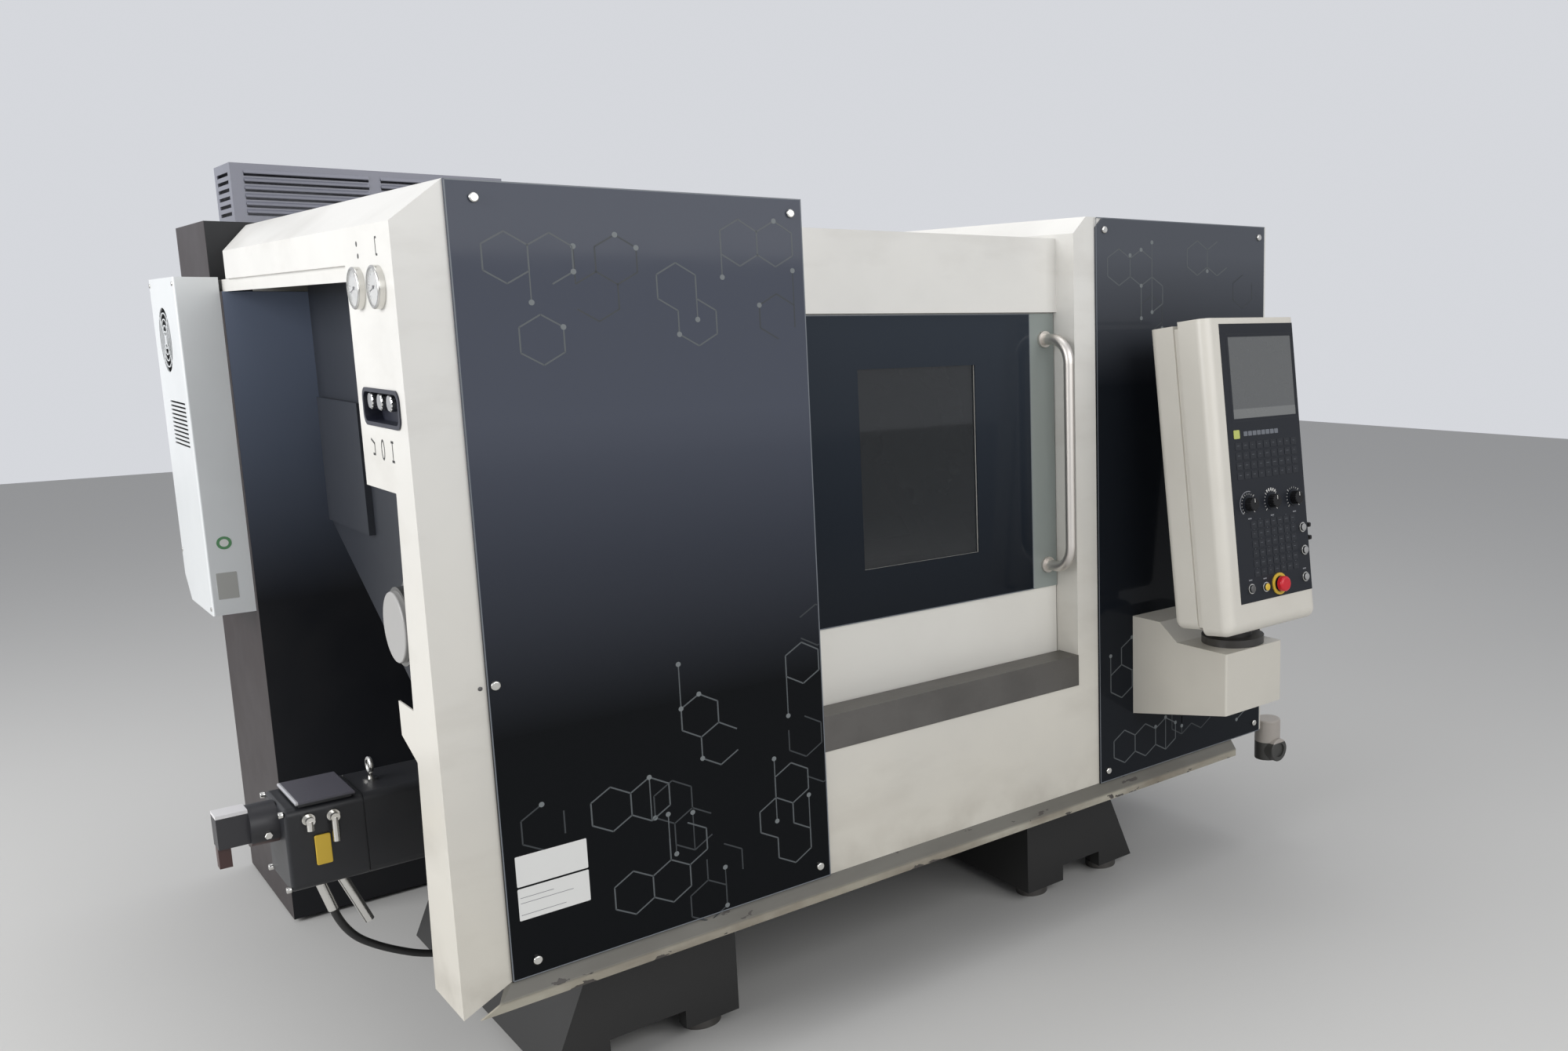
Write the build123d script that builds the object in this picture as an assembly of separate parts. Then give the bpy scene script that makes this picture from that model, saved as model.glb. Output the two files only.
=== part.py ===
from build123d import *
from math import cos, sin, tan, radians, degrees, hypot, atan2, pi
import os

# Slant-bed turning centre, all sizes in millimetres.
# The covers are laid out from three planes: X runs to the right from the left edge of the left glass
# panel, Y runs back from the front plane of the covers, and Z runs up from the floor. At the end the
# whole machine is moved so that its origin is the middle of its footprint on the floor.

# Covers
sheet = 3.0
cover_low = 365.0
cover_height = 1520.0
cover_depth = 1605.0
left_width = 708.0
door_opening = 778.0
right_strip = 72.0
right_glass = 667.0
right_margin = 12.0
left_strip = 92.0
left_chamfer = 76.0
roof_bevel = 193.0
right_chamfer = 43.0
middle_drop = 53.0
header_setback = 70.0
header_height = 187.0
glass = 6.0
glass_corner_cut = 26.0
band_height = 68.0
band_groove = 8.0
lip_height = 30.0

# Front ledge, lower panel and sill
ledge_drop = 47.0
ledge_out = 22.0
ledge_lip = 20.0
ledge_right = 2100.0
lower_panel_height = 307.0
sill_low = 294.0
sill_height = 83.0
sill_depth = 75.0
sill_proud = 2.0

# Side column with its gauges and air regulators
column_low_depth = 172.0
column_high_depth = 110.0
column_return = 20.0
gauge_plate_depth = 302.0
gauge_plate_low = 958.0
tab_depth = 232.0
tab_low = 432.0
tab_high = 537.0
tab_rise = 35.0
gauge_radius = 39.0
gauge_body_radius = 34.0
gauge_proud = 13.0
gauge_body_depth = 40.0
gauge_places = (88.0, 216.0)
gauge_clear = 5.0
pocket_front = 33.0
pocket_length = 230.0
pocket_low = 1078.0
pocket_height = 71.0
pocket_depth = 30.0
pocket_flange = 4.0
knob_radius = 16.0
knob_length = 26.0
knob_places = (106.0, 167.0, 228.0)
grip_count = 12
knob_height = 46.0
knob_shaft = 4.0

# Panel caps
cap_radius = 9.0
cap_strip_height = 595.0
cap_height = 7.0
cap_side_left = 48.0
cap_side_right = 28.0
cap_end = 31.0

# Door
door_setback = 84.0
door_thick = 34.0
door_overlap = 40.0
door_gap = 2.0
door_sill_lap = 3.0
door_rise = 55.0
door_glass_low = 922.0
door_glass_left_margin = 22.0
door_glass_thick = 4.0
stile_width = 80.0
window_left = 886.0
window_width = 339.0
window_low = 1045.0
window_height = 472.0
window_seat = 14.0
handle_radius = 14.0
handle_from_right = 34.0
handle_low = 983.0
handle_length = 593.0
handle_reach = 112.0
handle_bend = 60.0
handle_foot_radius = 21.0
handle_foot_thick = 8.0
track_clear = 10.0
rail_width = 16.0
rail_height = 12.0
rail_above_door = 14.0
carriage_length = 90.0

# Spindle line
axis_y = 400.0
axis_z = 1012.0
spindle_radius = 55.0
spindle_bore = 33.0
nose_radius = 105.0
nose_thick = 60.0
head_left = 240.0
head_length = 400.0
head_radius = 165.0
head_bore = 85.0
bearing_width = 60.0
running_gap = 0.05
chuck_length = 100.0
chuck_radius = 105.0
chuck_bore = 26.0
jaw_width = 32.0
jaw_seat = 30.0
jaw_proud = 50.0
jaw_inner = 34.0
jaw_outer = 96.0
jaw_stroke = 6.0
slide_gap = 0.3
cylinder_left = -34.0
cylinder_radius = 104.0
cylinder_length = 134.0
cover_disc_radius = 75.0
cylinder_bolt_count = 8
cover_disc_thick = 12.0
pulley_left = 150.0
pulley_width = 70.0
spindle_pulley_radius = 110.0
motor_pulley_radius = 80.0
belt_thick = 8.0
belt_count = 5

# Spindle motor
motor_y = 569.0
motor_z = 560.0
motor_square = 178.0
motor_left = -262.0
motor_length = 392.0
motor_corner = 16.0
motor_shaft = 24.0
end_cap_length = 144.0
end_cap_groove = 3.0
flange_square = 210.0
flange_thick = 14.0
box_left = -239.0
box_length = 109.0
box_width = 164.0
box_setback = 6.0
box_height = 5.0
box_lid = 8.0
encoder_radius = 44.0
encoder_rise = 48.0
encoder_length = 50.0
plug_length = 56.0
plug_width = 50.0
plug_low = 30.0
plug_high = 42.0
plug_tail = 44.0
eye_radius = 15.0
eye_thick = 4.5
eye_x = -78.0
bracket_thick = 18.0

# Glands, hose and sleeves of the motor: the hose runs from its sleeve to a gland in the left pedestal
gland_radius = 12.0
gland_places = ((-221.0, 24.0, 20.0), (-176.0, 26.0, 52.0))
hose_radius = 8.0
hose_route = [
    (-186.0, 512.0, 403.0),
    (-170.0, 513.0, 345.0),
    (-100.0, 516.0, 282.0),
    (10.0, 521.0, 222.0),
    (150.0, 528.0, 192.0),
]
sleeve_radius = 10.0
sleeve_length = 50.0
spare_sleeve_end = (-121.0, 512.0, 358.0)
spare_sleeve_heading = (23.0, 0.0, -60.0)
spare_sleeve_length = 82.0
gland_length = 40.0

# Slanted bed
bed_angle = 45.0
bed_drop = 330.0
bed_left = 240.0
bed_length = 1840.0
bed_low = 340.0
bed_front = 230.0
bed_rear = 1100.0
bed_toe = 90.0
slope_low = -400.0
slope_high = 260.0
way_height = 30.0
way_width = 40.0
saddle_ways = (-90.0, 210.0)
tail_ways = (-350.0, -200.0)
bay_count = 3
bed_wall = 45.0
pedestal_wall = 40.0
left_pedestal = 305.0
pedestal_span = 885.0
right_pedestal = 270.0
pedestal_front = 160.0
pedestal_flare = 130.0
fork_slot_height = 45.0
foot_height = 30.0
foot_radius = 45.0
foot_inset = 65.0
foot_pad = 25.0

# Carriage and turret
saddle_thick = 50.0
saddle_top = 600.0
saddle_length = 240.0
carriage_rest = 1450.0
carriage_travel = 560.0
cross_travel = 185.0
disc_radius = 160.0
disc_width = 80.0
turret_reach = 420.0
tool_radius = 230.0
turret_stations = 12
turret_shaft = 40.0
turret_shaft_length = 60.0
turret_motor_radius = 60.0
turret_motor_length = 60.0
turret_base_half = 170.0
rail_inset = 40.0
holder_length = 60.0
holder_width = 48.0
holder_rise = 28.0
shank_width = 20.0
tip_height = 16.0
drill_radius = 7.0
collet_radius = 20.0
collet_rise = 30.0
slide_base = 80.0
housing_half = 120.0
gib_depth = 20.0
gib_width = 30.0

# Tailstock
tail_left = 1700.0
tail_length = 250.0
tail_radius = 90.0
tail_travel = 350.0
quill_radius = 35.0
quill_out = 80.0
quill_travel = 100.0
centre_shank = 15.0
centre_radius = 28.0
centre_body = 30.0
centre_point = 22.0

# Work area walls
liner_left = 655.0
liner_right = 1957.0
liner_rear = 1177.0
liner_front = 125.0
nose_hole_gap = 8.0
pan_front = 75.0
pan_low = 470.0
chip_slot_left = 900.0
chip_slot_length = 800.0
chip_slot_width = 70.0

# Belt guard
guard_x = 100.0
guard_front = 662.0
guard_front_low = 652.0
guard_rear_low = 1103.0
duct_width = 380.0
duct_depth = 15.0
duct_low = 1110.0
duct_height = 327.0

# Control pendant and its arm
arm_left = 1684.0
arm_width = 222.0
arm_low = 539.0
arm_top = 817.0
arm_flat = 771.0
arm_depth = 352.0
arm_front_low = 606.0
arm_top_depth = 111.0
arm_slope_depth = 175.0
pendant_left = 1627.0
pendant_width = 358.0
pendant_height = 800.0
pendant_front = -414.0
pendant_low = 834.0
pendant_tilt = 6.8
pendant_layer = 90.0
pendant_groove = 20.0
pendant_groove_depth = 5.0
pendant_rear_layer = 92.0
pendant_rear_side = 3.0
pendant_rear_low = 14.0
pendant_rear_top = 8.0
pendant_corner = 30.0
pendant_low_corner = 22.0
swivel_y = -265.0
swivel_radius = 52.0
swivel_disc_radius = 84.0
swivel_disc_height = 20.0
spigot_radius = 20.0
spigot_depth = 55.0
panel_left_margin = 53.0
panel_right_margin = 19.0
panel_low_margin = 78.0
panel_top_margin = 15.0
panel_thick = 6.0
screen_left = 29.0
screen_low = 468.0
screen_width = 246.0
screen_height = 206.0
dial_radius = 17.0
dial_length = 20.0
dial_row = 250.0
dial_places = (58.0, 147.0, 237.0)
dial_pin = 4.0
dial_grip_count = 16
button_radius = 10.0
button_places = ((42.0, 35.0), (98.0, 32.0), (263.0, 168.0), (265.0, 107.0), (260.0, 36.0))
estop_radius = 20.0
estop_stem = 9.0
estop_place = (152.0, 33.0)
estop_travel = 6.0

# Electrical cabinet, cooling unit and louvred box
cabinet_front = 1482.0
cabinet_depth = 533.0
cabinet_short = 8.0
cabinet_rail_gap = 40.0
drive_count = 5
drive_low = 900.0
drive_deep = 180.0
drive_gap = 14.0
supply_low = 560.0
supply_high = 780.0
supply_deep = 90.0
filter_low = 300.0
filter_high = 470.0
filter_deep = 60.0
cabinet_low = 10.0
cabinet_step_y = 1610.0
cabinet_top = 1893.0
cabinet_foot = 30.0
cabinet_door_thick = 18.0
hinge_out = 6.0
hinge_radius = 9.0
hinge_pin = 4.0
hinge_length = 36.0
louvre_left = -21.0
louvre_width = 681.0
louvre_depth = 199.0
louvre_height = 152.0
louvre_rows = 6
cooler_front = 1509.0
cooler_length = 367.0
cooler_depth = 96.0
cooler_low = 876.0
cooler_height = 871.0
cooler_cut = 70.0
fan_radius = 84.0
fan_y = 1715.0
fan_z = 1588.0
fan_pin = 4.0
fan_blades = 5
vent_rows = 11

# Coolant filter at the right end
filter_out = 48.0
filter_y = 10.0
filter_drop = 103.0
filter_height = 126.0
filter_radius = 40.0
filter_cap_radius = 36.0
filter_cap_rise = 32.0
filter_cap_out = 50.0

# Places worked out from the sizes above
cover_top = cover_low + cover_height
door_left = left_width
door_right = left_width + door_opening
strip_right = door_right + right_strip
right_end = strip_right + right_glass + right_margin
chamfer_low = cover_top - left_chamfer
band_low = chamfer_low - band_height
lip_low = band_low - lip_height
gauge_z = band_low - gauge_radius - gauge_clear
middle_top = cover_top - middle_drop
track_left = -left_strip + gauge_body_depth + track_clear
header_low = middle_top - header_height
sill_z = cover_low + sill_low
sill_top = sill_z + sill_height
gauge_plate_z = cover_low + gauge_plate_low
nose_left = head_left + head_length + slide_gap
chuck_left = nose_left + nose_thick
chuck_right = chuck_left + chuck_length
motor_right = motor_left + motor_length
bed_right = bed_left + bed_length
right_inner = bed_left + left_pedestal + pedestal_span
cabinet_left = -left_strip
cabinet_width = left_width - cabinet_short - cabinet_left
cabinet_right = cabinet_left + cabinet_width
cabinet_rear = cabinet_front + cabinet_depth
slope_cos = cos(radians(bed_angle))
slope_sin = sin(radians(bed_angle))


def block(x0, x1, y0, y1, z0, z1):
    """A box between two opposite corners."""
    return Pos((x0 + x1) / 2, (y0 + y1) / 2, (z0 + z1) / 2) * Box(x1 - x0, y1 - y0, z1 - z0)


def prism_x(points, x0, x1):
    """A side outline of (y, z) points, carried from x0 to x1."""
    face = Face(Wire.make_polygon([(x0, y, z) for y, z in points]))
    return extrude(face, amount=x1 - x0, dir=(1, 0, 0))


def prism_y(points, y0, y1):
    """A front outline of (x, z) points, carried from y0 to y1."""
    face = Face(Wire.make_polygon([(x, y0, z) for x, z in points]))
    return extrude(face, amount=y1 - y0, dir=(0, 1, 0))


def prism_z(points, z0, z1):
    """A plan outline of (x, y) points, carried from z0 to z1."""
    face = Face(Wire.make_polygon([(x, y, z0) for x, y in points]))
    return extrude(face, amount=z1 - z0, dir=(0, 0, 1))


def rod_x(radius, x0, x1, y, z):
    """A round bar along X."""
    return Pos((x0 + x1) / 2, y, z) * Rot(0, 90, 0) * Cylinder(radius, x1 - x0)


def rod_y(radius, y0, y1, x, z):
    """A round bar along Y."""
    return Pos(x, (y0 + y1) / 2, z) * Rot(90, 0, 0) * Cylinder(radius, y1 - y0)


def rod_z(radius, z0, z1, x, y):
    """A round bar along Z."""
    return Pos(x, y, (z0 + z1) / 2) * Cylinder(radius, z1 - z0)


def folded(points, thickness):
    """Outline of a bent sheet: its outer face follows the points, its thickness lies to their left."""
    normals = []
    for (a, b), (c, d) in zip(points, points[1:]):
        length = hypot(c - a, d - b)
        normals.append(((b - d) / length, (c - a) / length))
    inner = []
    for i, (u, v) in enumerate(points):
        before = normals[max(i - 1, 0)]
        after = normals[min(i, len(normals) - 1)]
        share = thickness / (1 + before[0] * after[0] + before[1] * after[1])
        inner.append((u + (before[0] + after[0]) * share, v + (before[1] + after[1]) * share))
    return list(points) + inner[::-1]


def slope(along, above):
    """A (y, z) point given along the bed's slope and square to it, both from the spindle axis."""
    y = axis_y + along * slope_cos - above * slope_sin
    z = axis_z + along * slope_sin + above * slope_cos
    return (y, z)


def slope_block(along0, along1, above0, above1, x0, x1):
    """A box whose sides follow the bed's slope."""
    corners = [(along0, above0), (along1, above0), (along1, above1), (along0, above1)]
    return prism_x([slope(a, n) for a, n in corners], x0, x1)


# Front and side covers

def left_front_panel():
    outline = [
        (-left_strip, cover_low - ledge_drop),
        (0, cover_low),
        (left_width, cover_low),
        (left_width, cover_top),
        (0, cover_top),
        (-left_strip, chamfer_low),
    ]
    flange_rear = header_setback + sheet
    flange = block(left_width - sheet, left_width, sheet, flange_rear, cover_low, middle_top)
    return prism_y(outline, 0, sheet) + flange


def side_column():
    low = cover_low - ledge_drop
    outline = [(sheet, low), (column_low_depth, low)]
    height = gauge_plate_z - low
    taper = column_high_depth - column_low_depth
    for z in (cover_low + tab_low, cover_low + tab_high):
        outline.append((column_low_depth + taper * (z - low) / height, z))
    outline.insert(3, (tab_depth, cover_low + tab_low + tab_rise))
    outline.insert(4, (tab_depth, cover_low + tab_high))
    outline += [
        (column_high_depth, gauge_plate_z),
        (gauge_plate_depth, gauge_plate_z),
        (gauge_plate_depth, band_low),
        (sheet, band_low),
    ]
    plate = prism_x(outline, -left_strip, -left_strip + sheet)
    for y in gauge_places:
        plate -= rod_x(gauge_body_radius + 1, -left_strip - 1, -left_strip + sheet + 1, y, gauge_z)
    plate -= pocket_outline(pocket_flange + slide_gap, -left_strip - 1, -left_strip + sheet + 1)
    rim_y = column_low_depth - sheet
    rim_high = cover_low + tab_low - sheet
    slant = taper * (rim_high - low) / height
    rim = [(rim_y, low), (rim_y + sheet, low), (rim_y + sheet + slant, rim_high), (rim_y + slant, rim_high)]
    return plate + prism_x(rim, -left_strip + sheet, -left_strip + sheet + column_return)


def pocket_outline(inset, x0, x1):
    """The regulator pocket's long shape with rounded ends, made smaller all round by the inset."""
    half = pocket_height / 2 - inset
    mid_z = cover_low + pocket_low + pocket_height / 2
    front = pocket_front + inset
    rear = pocket_front + pocket_length - inset
    body = block(x0, x1, front, rear, mid_z - half, mid_z + half)
    return fillet(body.edges().filter_by(Axis.X), half * 0.6)


def regulator_pocket():
    face = -left_strip
    deep = face + pocket_depth
    flange = pocket_outline(0, face - sheet, face)
    tray = pocket_outline(pocket_flange + 2 * slide_gap, face, deep)
    pocket = flange + tray - pocket_outline(pocket_flange + 2 * slide_gap + sheet, face - 2 * sheet,
                                            deep - sheet)
    for y in knob_places:
        pocket += rod_x(knob_shaft * 2, deep - sheet, deep, y, cover_low + pocket_low + knob_height)
        pocket += rod_x(knob_shaft, deep - sheet - 8, deep, y, cover_low + pocket_low + knob_height)
    return pocket


def regulator_knob(place):
    z = cover_low + pocket_low + knob_height
    inner = -left_strip + pocket_depth - sheet - slide_gap
    outer = inner - knob_length
    knob = chamfer(rod_x(knob_radius, outer, inner, place, z).edges().group_by(Axis.X)[0], 2)
    knob -= rod_x(knob_shaft + running_gap, inner - 9, inner + 1, place, z)
    for i in range(grip_count):
        angle = 2 * pi * i / grip_count
        y = place + knob_radius * cos(angle)
        knob -= rod_x(1.6, outer - 1, inner - 8, y, z + knob_radius * sin(angle))
    return knob


def pressure_gauges():
    z = gauge_z
    face = -left_strip
    gauges = []
    for y in gauge_places:
        bezel = rod_x(gauge_radius, face - gauge_proud, face, y, z)
        bezel = fillet(bezel.edges().group_by(Axis.X)[0], 3)
        bezel -= rod_x(gauge_radius - 5, face - gauge_proud - 1, face - gauge_proud + 4, y, z)
        gauges.append(bezel + rod_x(gauge_body_radius, face, face + gauge_body_depth, y, z))
    return gauges


def left_roof():
    outline = folded([
        (left_width, middle_top),
        (left_width, cover_top),
        (0, cover_top),
        (-left_strip, chamfer_low),
        (-left_strip, band_low),
        (-left_strip + band_groove, band_low),
        (-left_strip + band_groove, lip_low),
    ], sheet)
    roof = prism_y(outline, sheet, cover_depth)
    clear = 2 * sheet
    roof -= block(-left_strip + band_groove - clear, -left_strip + band_groove + clear,
                  0, gauge_plate_depth + clear, lip_low - clear, band_low)
    lean = roof_bevel / left_strip
    corner = cover_depth - roof_bevel
    outer = [(0, cover_depth), (-left_strip - 1, corner - lean), (-left_strip - 1, cover_depth + 1),
             (0, cover_depth + 1)]
    roof -= prism_z(outer, band_low, cover_top + 1)
    web = [(0, cover_depth), (-left_strip, corner), (-left_strip, corner - sheet * lean),
           (0, cover_depth - sheet * lean)]
    profile = [(left_width, cover_top), (0, cover_top), (-left_strip, chamfer_low),
               (-left_strip, band_low), (left_width, band_low)]
    return roof + (prism_z(web, band_low, cover_top) & prism_y(profile, 0, cover_depth))


def door_header():
    outline = folded([
        (cover_depth, middle_top),
        (header_setback, middle_top),
        (header_setback, header_low),
        (header_setback + 3 * sheet, header_low),
    ], sheet)
    return prism_x(outline, door_left, door_right)


def right_front_panel():
    lower_top = cover_low + lower_panel_height
    outline = [
        (left_width, cover_low),
        (right_end, cover_low),
        (right_end, cover_top),
        (door_right + right_chamfer, cover_top),
        (door_right, cover_top - right_chamfer),
        (door_right, lower_top),
        (left_width, lower_top),
    ]
    flange = block(door_right, door_right + sheet, sheet, liner_front, sill_top - 4 * sheet, middle_top)
    return prism_y(outline, 0, sheet) + flange


def right_cover():
    outline = folded([
        (right_end, cover_low),
        (right_end, cover_top),
        (door_right + right_chamfer, cover_top),
        (door_right, cover_top - right_chamfer),
        (door_right, middle_top),
    ], sheet)
    return prism_y(outline, sheet, cover_depth)


def rear_cover():
    outline = [
        (cabinet_right + sheet, cover_low),
        (right_end, cover_low),
        (right_end, cover_top),
        (door_right + right_chamfer, cover_top),
        (door_right, cover_top - right_chamfer),
        (door_right, middle_top),
        (left_width, middle_top),
        (left_width, cover_top),
        (0, cover_top),
        (0, lip_low + sheet),
        (cabinet_right + sheet, lip_low + sheet),
    ]
    return prism_y(outline, cover_depth, cover_depth + sheet)


def front_ledge():
    low = cover_low - ledge_drop
    lip_top = low + ledge_lip
    fall = (cover_low - lip_top) / ledge_out
    outline = [
        (sheet, cover_low),
        (0, cover_low),
        (-ledge_out, lip_top),
        (-ledge_out, low),
        (sheet - ledge_out, low),
        (sheet - ledge_out, lip_top - sheet * 0.3),
        (sheet, cover_low - sheet * fall * 1.4),
    ]
    ledge = prism_x(outline, -left_strip, ledge_right)
    mitre = Plane(Face(Wire.make_polygon([(0, 0, cover_low), (-left_strip, 0, low),
                                          (-left_strip + 26, -ledge_out, low)])))
    if mitre.z_dir.X < 0:
        mitre = -mitre
    ledge = split(ledge, bisect_by=mitre, keep=Keep.TOP)
    return ledge - block(-left_strip - 1, 0, 0, 2 * sheet, low - 1, cover_low + 1)


def door_sill():
    outline = folded([
        (sill_depth, sill_top - 4 * sheet),
        (sill_depth, sill_top),
        (-sill_proud, sill_top),
        (-sill_proud, sill_z),
    ], sill_proud)
    return prism_x(outline, door_left, door_right)


def left_black_panel():
    return block(0, left_width, -glass, 0, cover_low, cover_top)


def right_black_panel():
    right = strip_right + right_glass
    outline = [
        (strip_right, cover_low),
        (right, cover_low),
        (right, cover_top),
        (strip_right + glass_corner_cut, cover_top),
        (strip_right, cover_top - glass_corner_cut),
    ]
    return prism_y(outline, -glass, 0)


def panel_caps():
    low = cover_low + cap_end
    high = cover_top - cap_end
    right = strip_right + right_glass
    places = [(x, z) for x in (cap_side_left, left_width - cap_side_right) for z in (low, high)]
    places += [(x, z) for x in (strip_right + cap_side_right, right - cap_side_right) for z in (low, high)]
    places.append((cap_side_right / 2, cover_low + cap_strip_height))
    caps = []
    for x, z in places:
        cap = rod_y(cap_radius, -glass - cap_height, -glass, x, z)
        caps.append(fillet(cap.edges().group_by(Axis.Y)[0], 3))
    return caps


# Sliding door

def door_box():
    """The door's left, right, low and high edges."""
    left = door_left - door_overlap
    right = door_right - door_gap
    return left, right, sill_top - door_sill_lap, header_low + door_rise


def door_panel():
    """Pressed door pan with its raised stile, its window rim and the guide blocks of its track."""
    left, right, low, high = door_box()
    front = door_setback
    rear = door_setback + door_thick
    pan = block(left, right, front, rear, low, high)
    pan -= block(left + sheet, right - sheet, front + sheet, rear + 1, low + sheet, high - sheet)
    seat = window_seat
    x0, x1 = window_left - seat, window_left + window_width + seat
    z0, z1 = window_low - seat, window_low + window_height + seat
    pan += block(x0 - sheet, x1 + sheet, front, rear, z0 - sheet, z1 + sheet)
    pan -= block(x0, x1, front + sheet, rear + 1, z0, z1)
    pan -= block(window_left, window_left + window_width, front - 1, rear + 1, window_low,
                 window_low + window_height)
    pan += block(right - stile_width, right, front - door_glass_thick, front, door_glass_low,
                 header_low - sheet)
    for carriage in door_carriages():
        pan += carriage
    return pan


def door_glass():
    left, right, _, _ = door_box()
    x1 = right - stile_width
    pane = block(left + door_glass_left_margin, x1, door_setback - door_glass_thick, door_setback,
                 door_glass_low, header_low - sheet)
    hole = block(window_left, window_left + window_width, 0, door_setback + 1, window_low,
                 window_low + window_height)
    return pane - hole


def door_window():
    """Laminated safety glass behind the door's opening, held on the rim inside the door."""
    seat = window_seat - slide_gap
    y0 = door_setback + sheet
    return block(window_left - seat, window_left + window_width + seat, y0, y0 + 2 * door_glass_thick,
                 window_low - seat, window_low + window_height + seat)


def door_handle():
    _, right, _, _ = door_box()
    x = right - handle_from_right
    face = door_setback - door_glass_thick
    high = handle_low + handle_length
    front = face - handle_reach + handle_radius
    route = FilletPolyline(
        (x, face, handle_low), (x, front, handle_low), (x, front, high), (x, face, high),
        radius=handle_bend)
    section = Plane(origin=(x, face, handle_low), z_dir=(0, -1, 0)) * Circle(handle_radius)
    handle = sweep(section, path=route)
    for z in (handle_low, high):
        handle += rod_y(handle_foot_radius, face - handle_foot_thick, face, x, z)
    return handle


def door_track():
    left = track_left
    high = door_box()[3]
    plate_front = door_setback + door_thick + 4
    bar_low = high + rail_above_door
    mid_y = door_setback + door_thick / 2
    plate = block(left, door_right, plate_front, plate_front + sheet, high + 2, middle_top - sheet)
    bar = block(left, door_right, mid_y - rail_width / 2, plate_front, bar_low, bar_low + rail_height)
    return plate + bar


def door_carriages():
    """Guide blocks on the door's top edge that wrap round the track's bar."""
    left, right, _, high = door_box()
    mid_y = door_setback + door_thick / 2
    bar_low = high + rail_above_door
    front = door_setback + 1
    gap = slide_gap
    blocks = []
    for x in (left + 60, right - 60 - carriage_length):
        body = block(x, x + carriage_length, front, mid_y + rail_width / 2, high,
                     bar_low + rail_height + 10)
        body -= block(x - 1, x + carriage_length + 1, mid_y - rail_width / 2 - gap, mid_y + rail_width,
                      bar_low - gap, bar_low + rail_height + gap)
        blocks.append(body)
    return blocks


# Bed, headstock and spindle

def foot_places(inner, outer):
    """Where the levelling feet stand under a pedestal, from its inner side and its flared side's foot."""
    inward = foot_inset if outer > inner else -foot_inset
    return [(x, y) for x in (inner + inward, outer - inward) for y in (pedestal_front + foot_inset,
                                                                       bed_rear - foot_inset)]


def pedestal(inner, outer, side):
    """A hollow foot with an upright inner side, a flared outer side and a slot for lifting forks."""
    high = bed_low
    flared = outer + side * pedestal_flare

    def shell(inset, low):
        return [(inner + side * inset, low), (flared - side * inset, low), (outer - side * inset, high),
                (inner + side * inset, high)]

    foot = prism_y(shell(0, foot_height), pedestal_front, bed_rear)
    foot -= prism_y(shell(pedestal_wall, foot_height - 1), pedestal_front + pedestal_wall,
                    bed_rear - pedestal_wall)
    foot += block(min(inner, outer), max(inner, outer), pedestal_front, bed_front + pedestal_wall,
                  high - pedestal_wall, high)
    slot_low, slot_high = sorted((inner + side * 2 * foot_inset, flared - side * 2 * foot_inset))
    foot -= block(slot_low, slot_high, pedestal_front - 1, bed_rear + 1, foot_height - 1,
                  foot_height + fork_slot_height)
    half = foot_radius
    for x, y in foot_places(inner, flared):
        foot += block(x - half, x + half, y - half, y + half, foot_height, foot_height + foot_pad)
    return foot


def bed_casting():
    low_end = slope(slope_low, -bed_drop)
    high_end = slope(slope_high, -bed_drop)
    outline = [
        (bed_front, bed_low),
        (bed_front, bed_low + bed_toe),
        low_end,
        high_end,
        (high_end[0] + 80, high_end[1]),
        (bed_rear, bed_low + 220),
        (bed_rear, bed_low),
    ]
    bed = prism_x(outline, bed_left, bed_right)
    inner_low = slope(slope_low + 120, -bed_drop - bed_wall)
    inner_high = slope(slope_high - 60, -bed_drop - bed_wall)
    cavity = [
        (inner_low[0], bed_low - 1),
        inner_low,
        inner_high,
        (bed_rear - bed_wall, bed_low + 200),
        (bed_rear - bed_wall, bed_low - 1),
    ]
    bay = (bed_length - bed_wall * (bay_count + 1)) / bay_count
    for i in range(bay_count):
        x0 = bed_left + bed_wall + i * (bay + bed_wall)
        bed -= prism_x(cavity, x0, x0 + bay)
    bed += pedestal(bed_left + left_pedestal, bed_left, -1)
    bed += pedestal(right_inner, right_inner + right_pedestal, 1)
    for along in saddle_ways + tail_ways:
        bed += slope_block(along - way_width / 2, along + way_width / 2, -bed_drop, -bed_drop + way_height,
                           liner_left + 2 * sheet, liner_right)
    plate_right = pulley_left - 2
    half = flange_square / 2
    y0, y1 = motor_y - half, motor_y + half
    z0, z1 = motor_z - half, motor_z + half
    plate = block(plate_right - bracket_thick, plate_right, y0, y1, z0, z1)
    plate -= rod_x(motor_shaft + 6, plate_right - 2 * bracket_thick, plate_right + 1, motor_y, motor_z)
    arm = bracket_thick / 2
    bed += plate
    bed += block(plate_right, bed_left, y0, y0 + arm, z0, motor_z - 20)
    bed += block(plate_right, bed_left, y1 - arm, y1, z0, z1)
    return bed


def levelling_feet():
    feet = []
    for inner, outer in ((bed_left + left_pedestal, bed_left - pedestal_flare),
                         (right_inner, right_inner + right_pedestal + pedestal_flare)):
        for x, y in foot_places(inner, outer):
            pad = rod_z(foot_radius, 0, foot_height * 0.6, x, y)
            feet.append(pad + rod_z(foot_radius / 3, 0, foot_height, x, y))
    return feet


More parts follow.
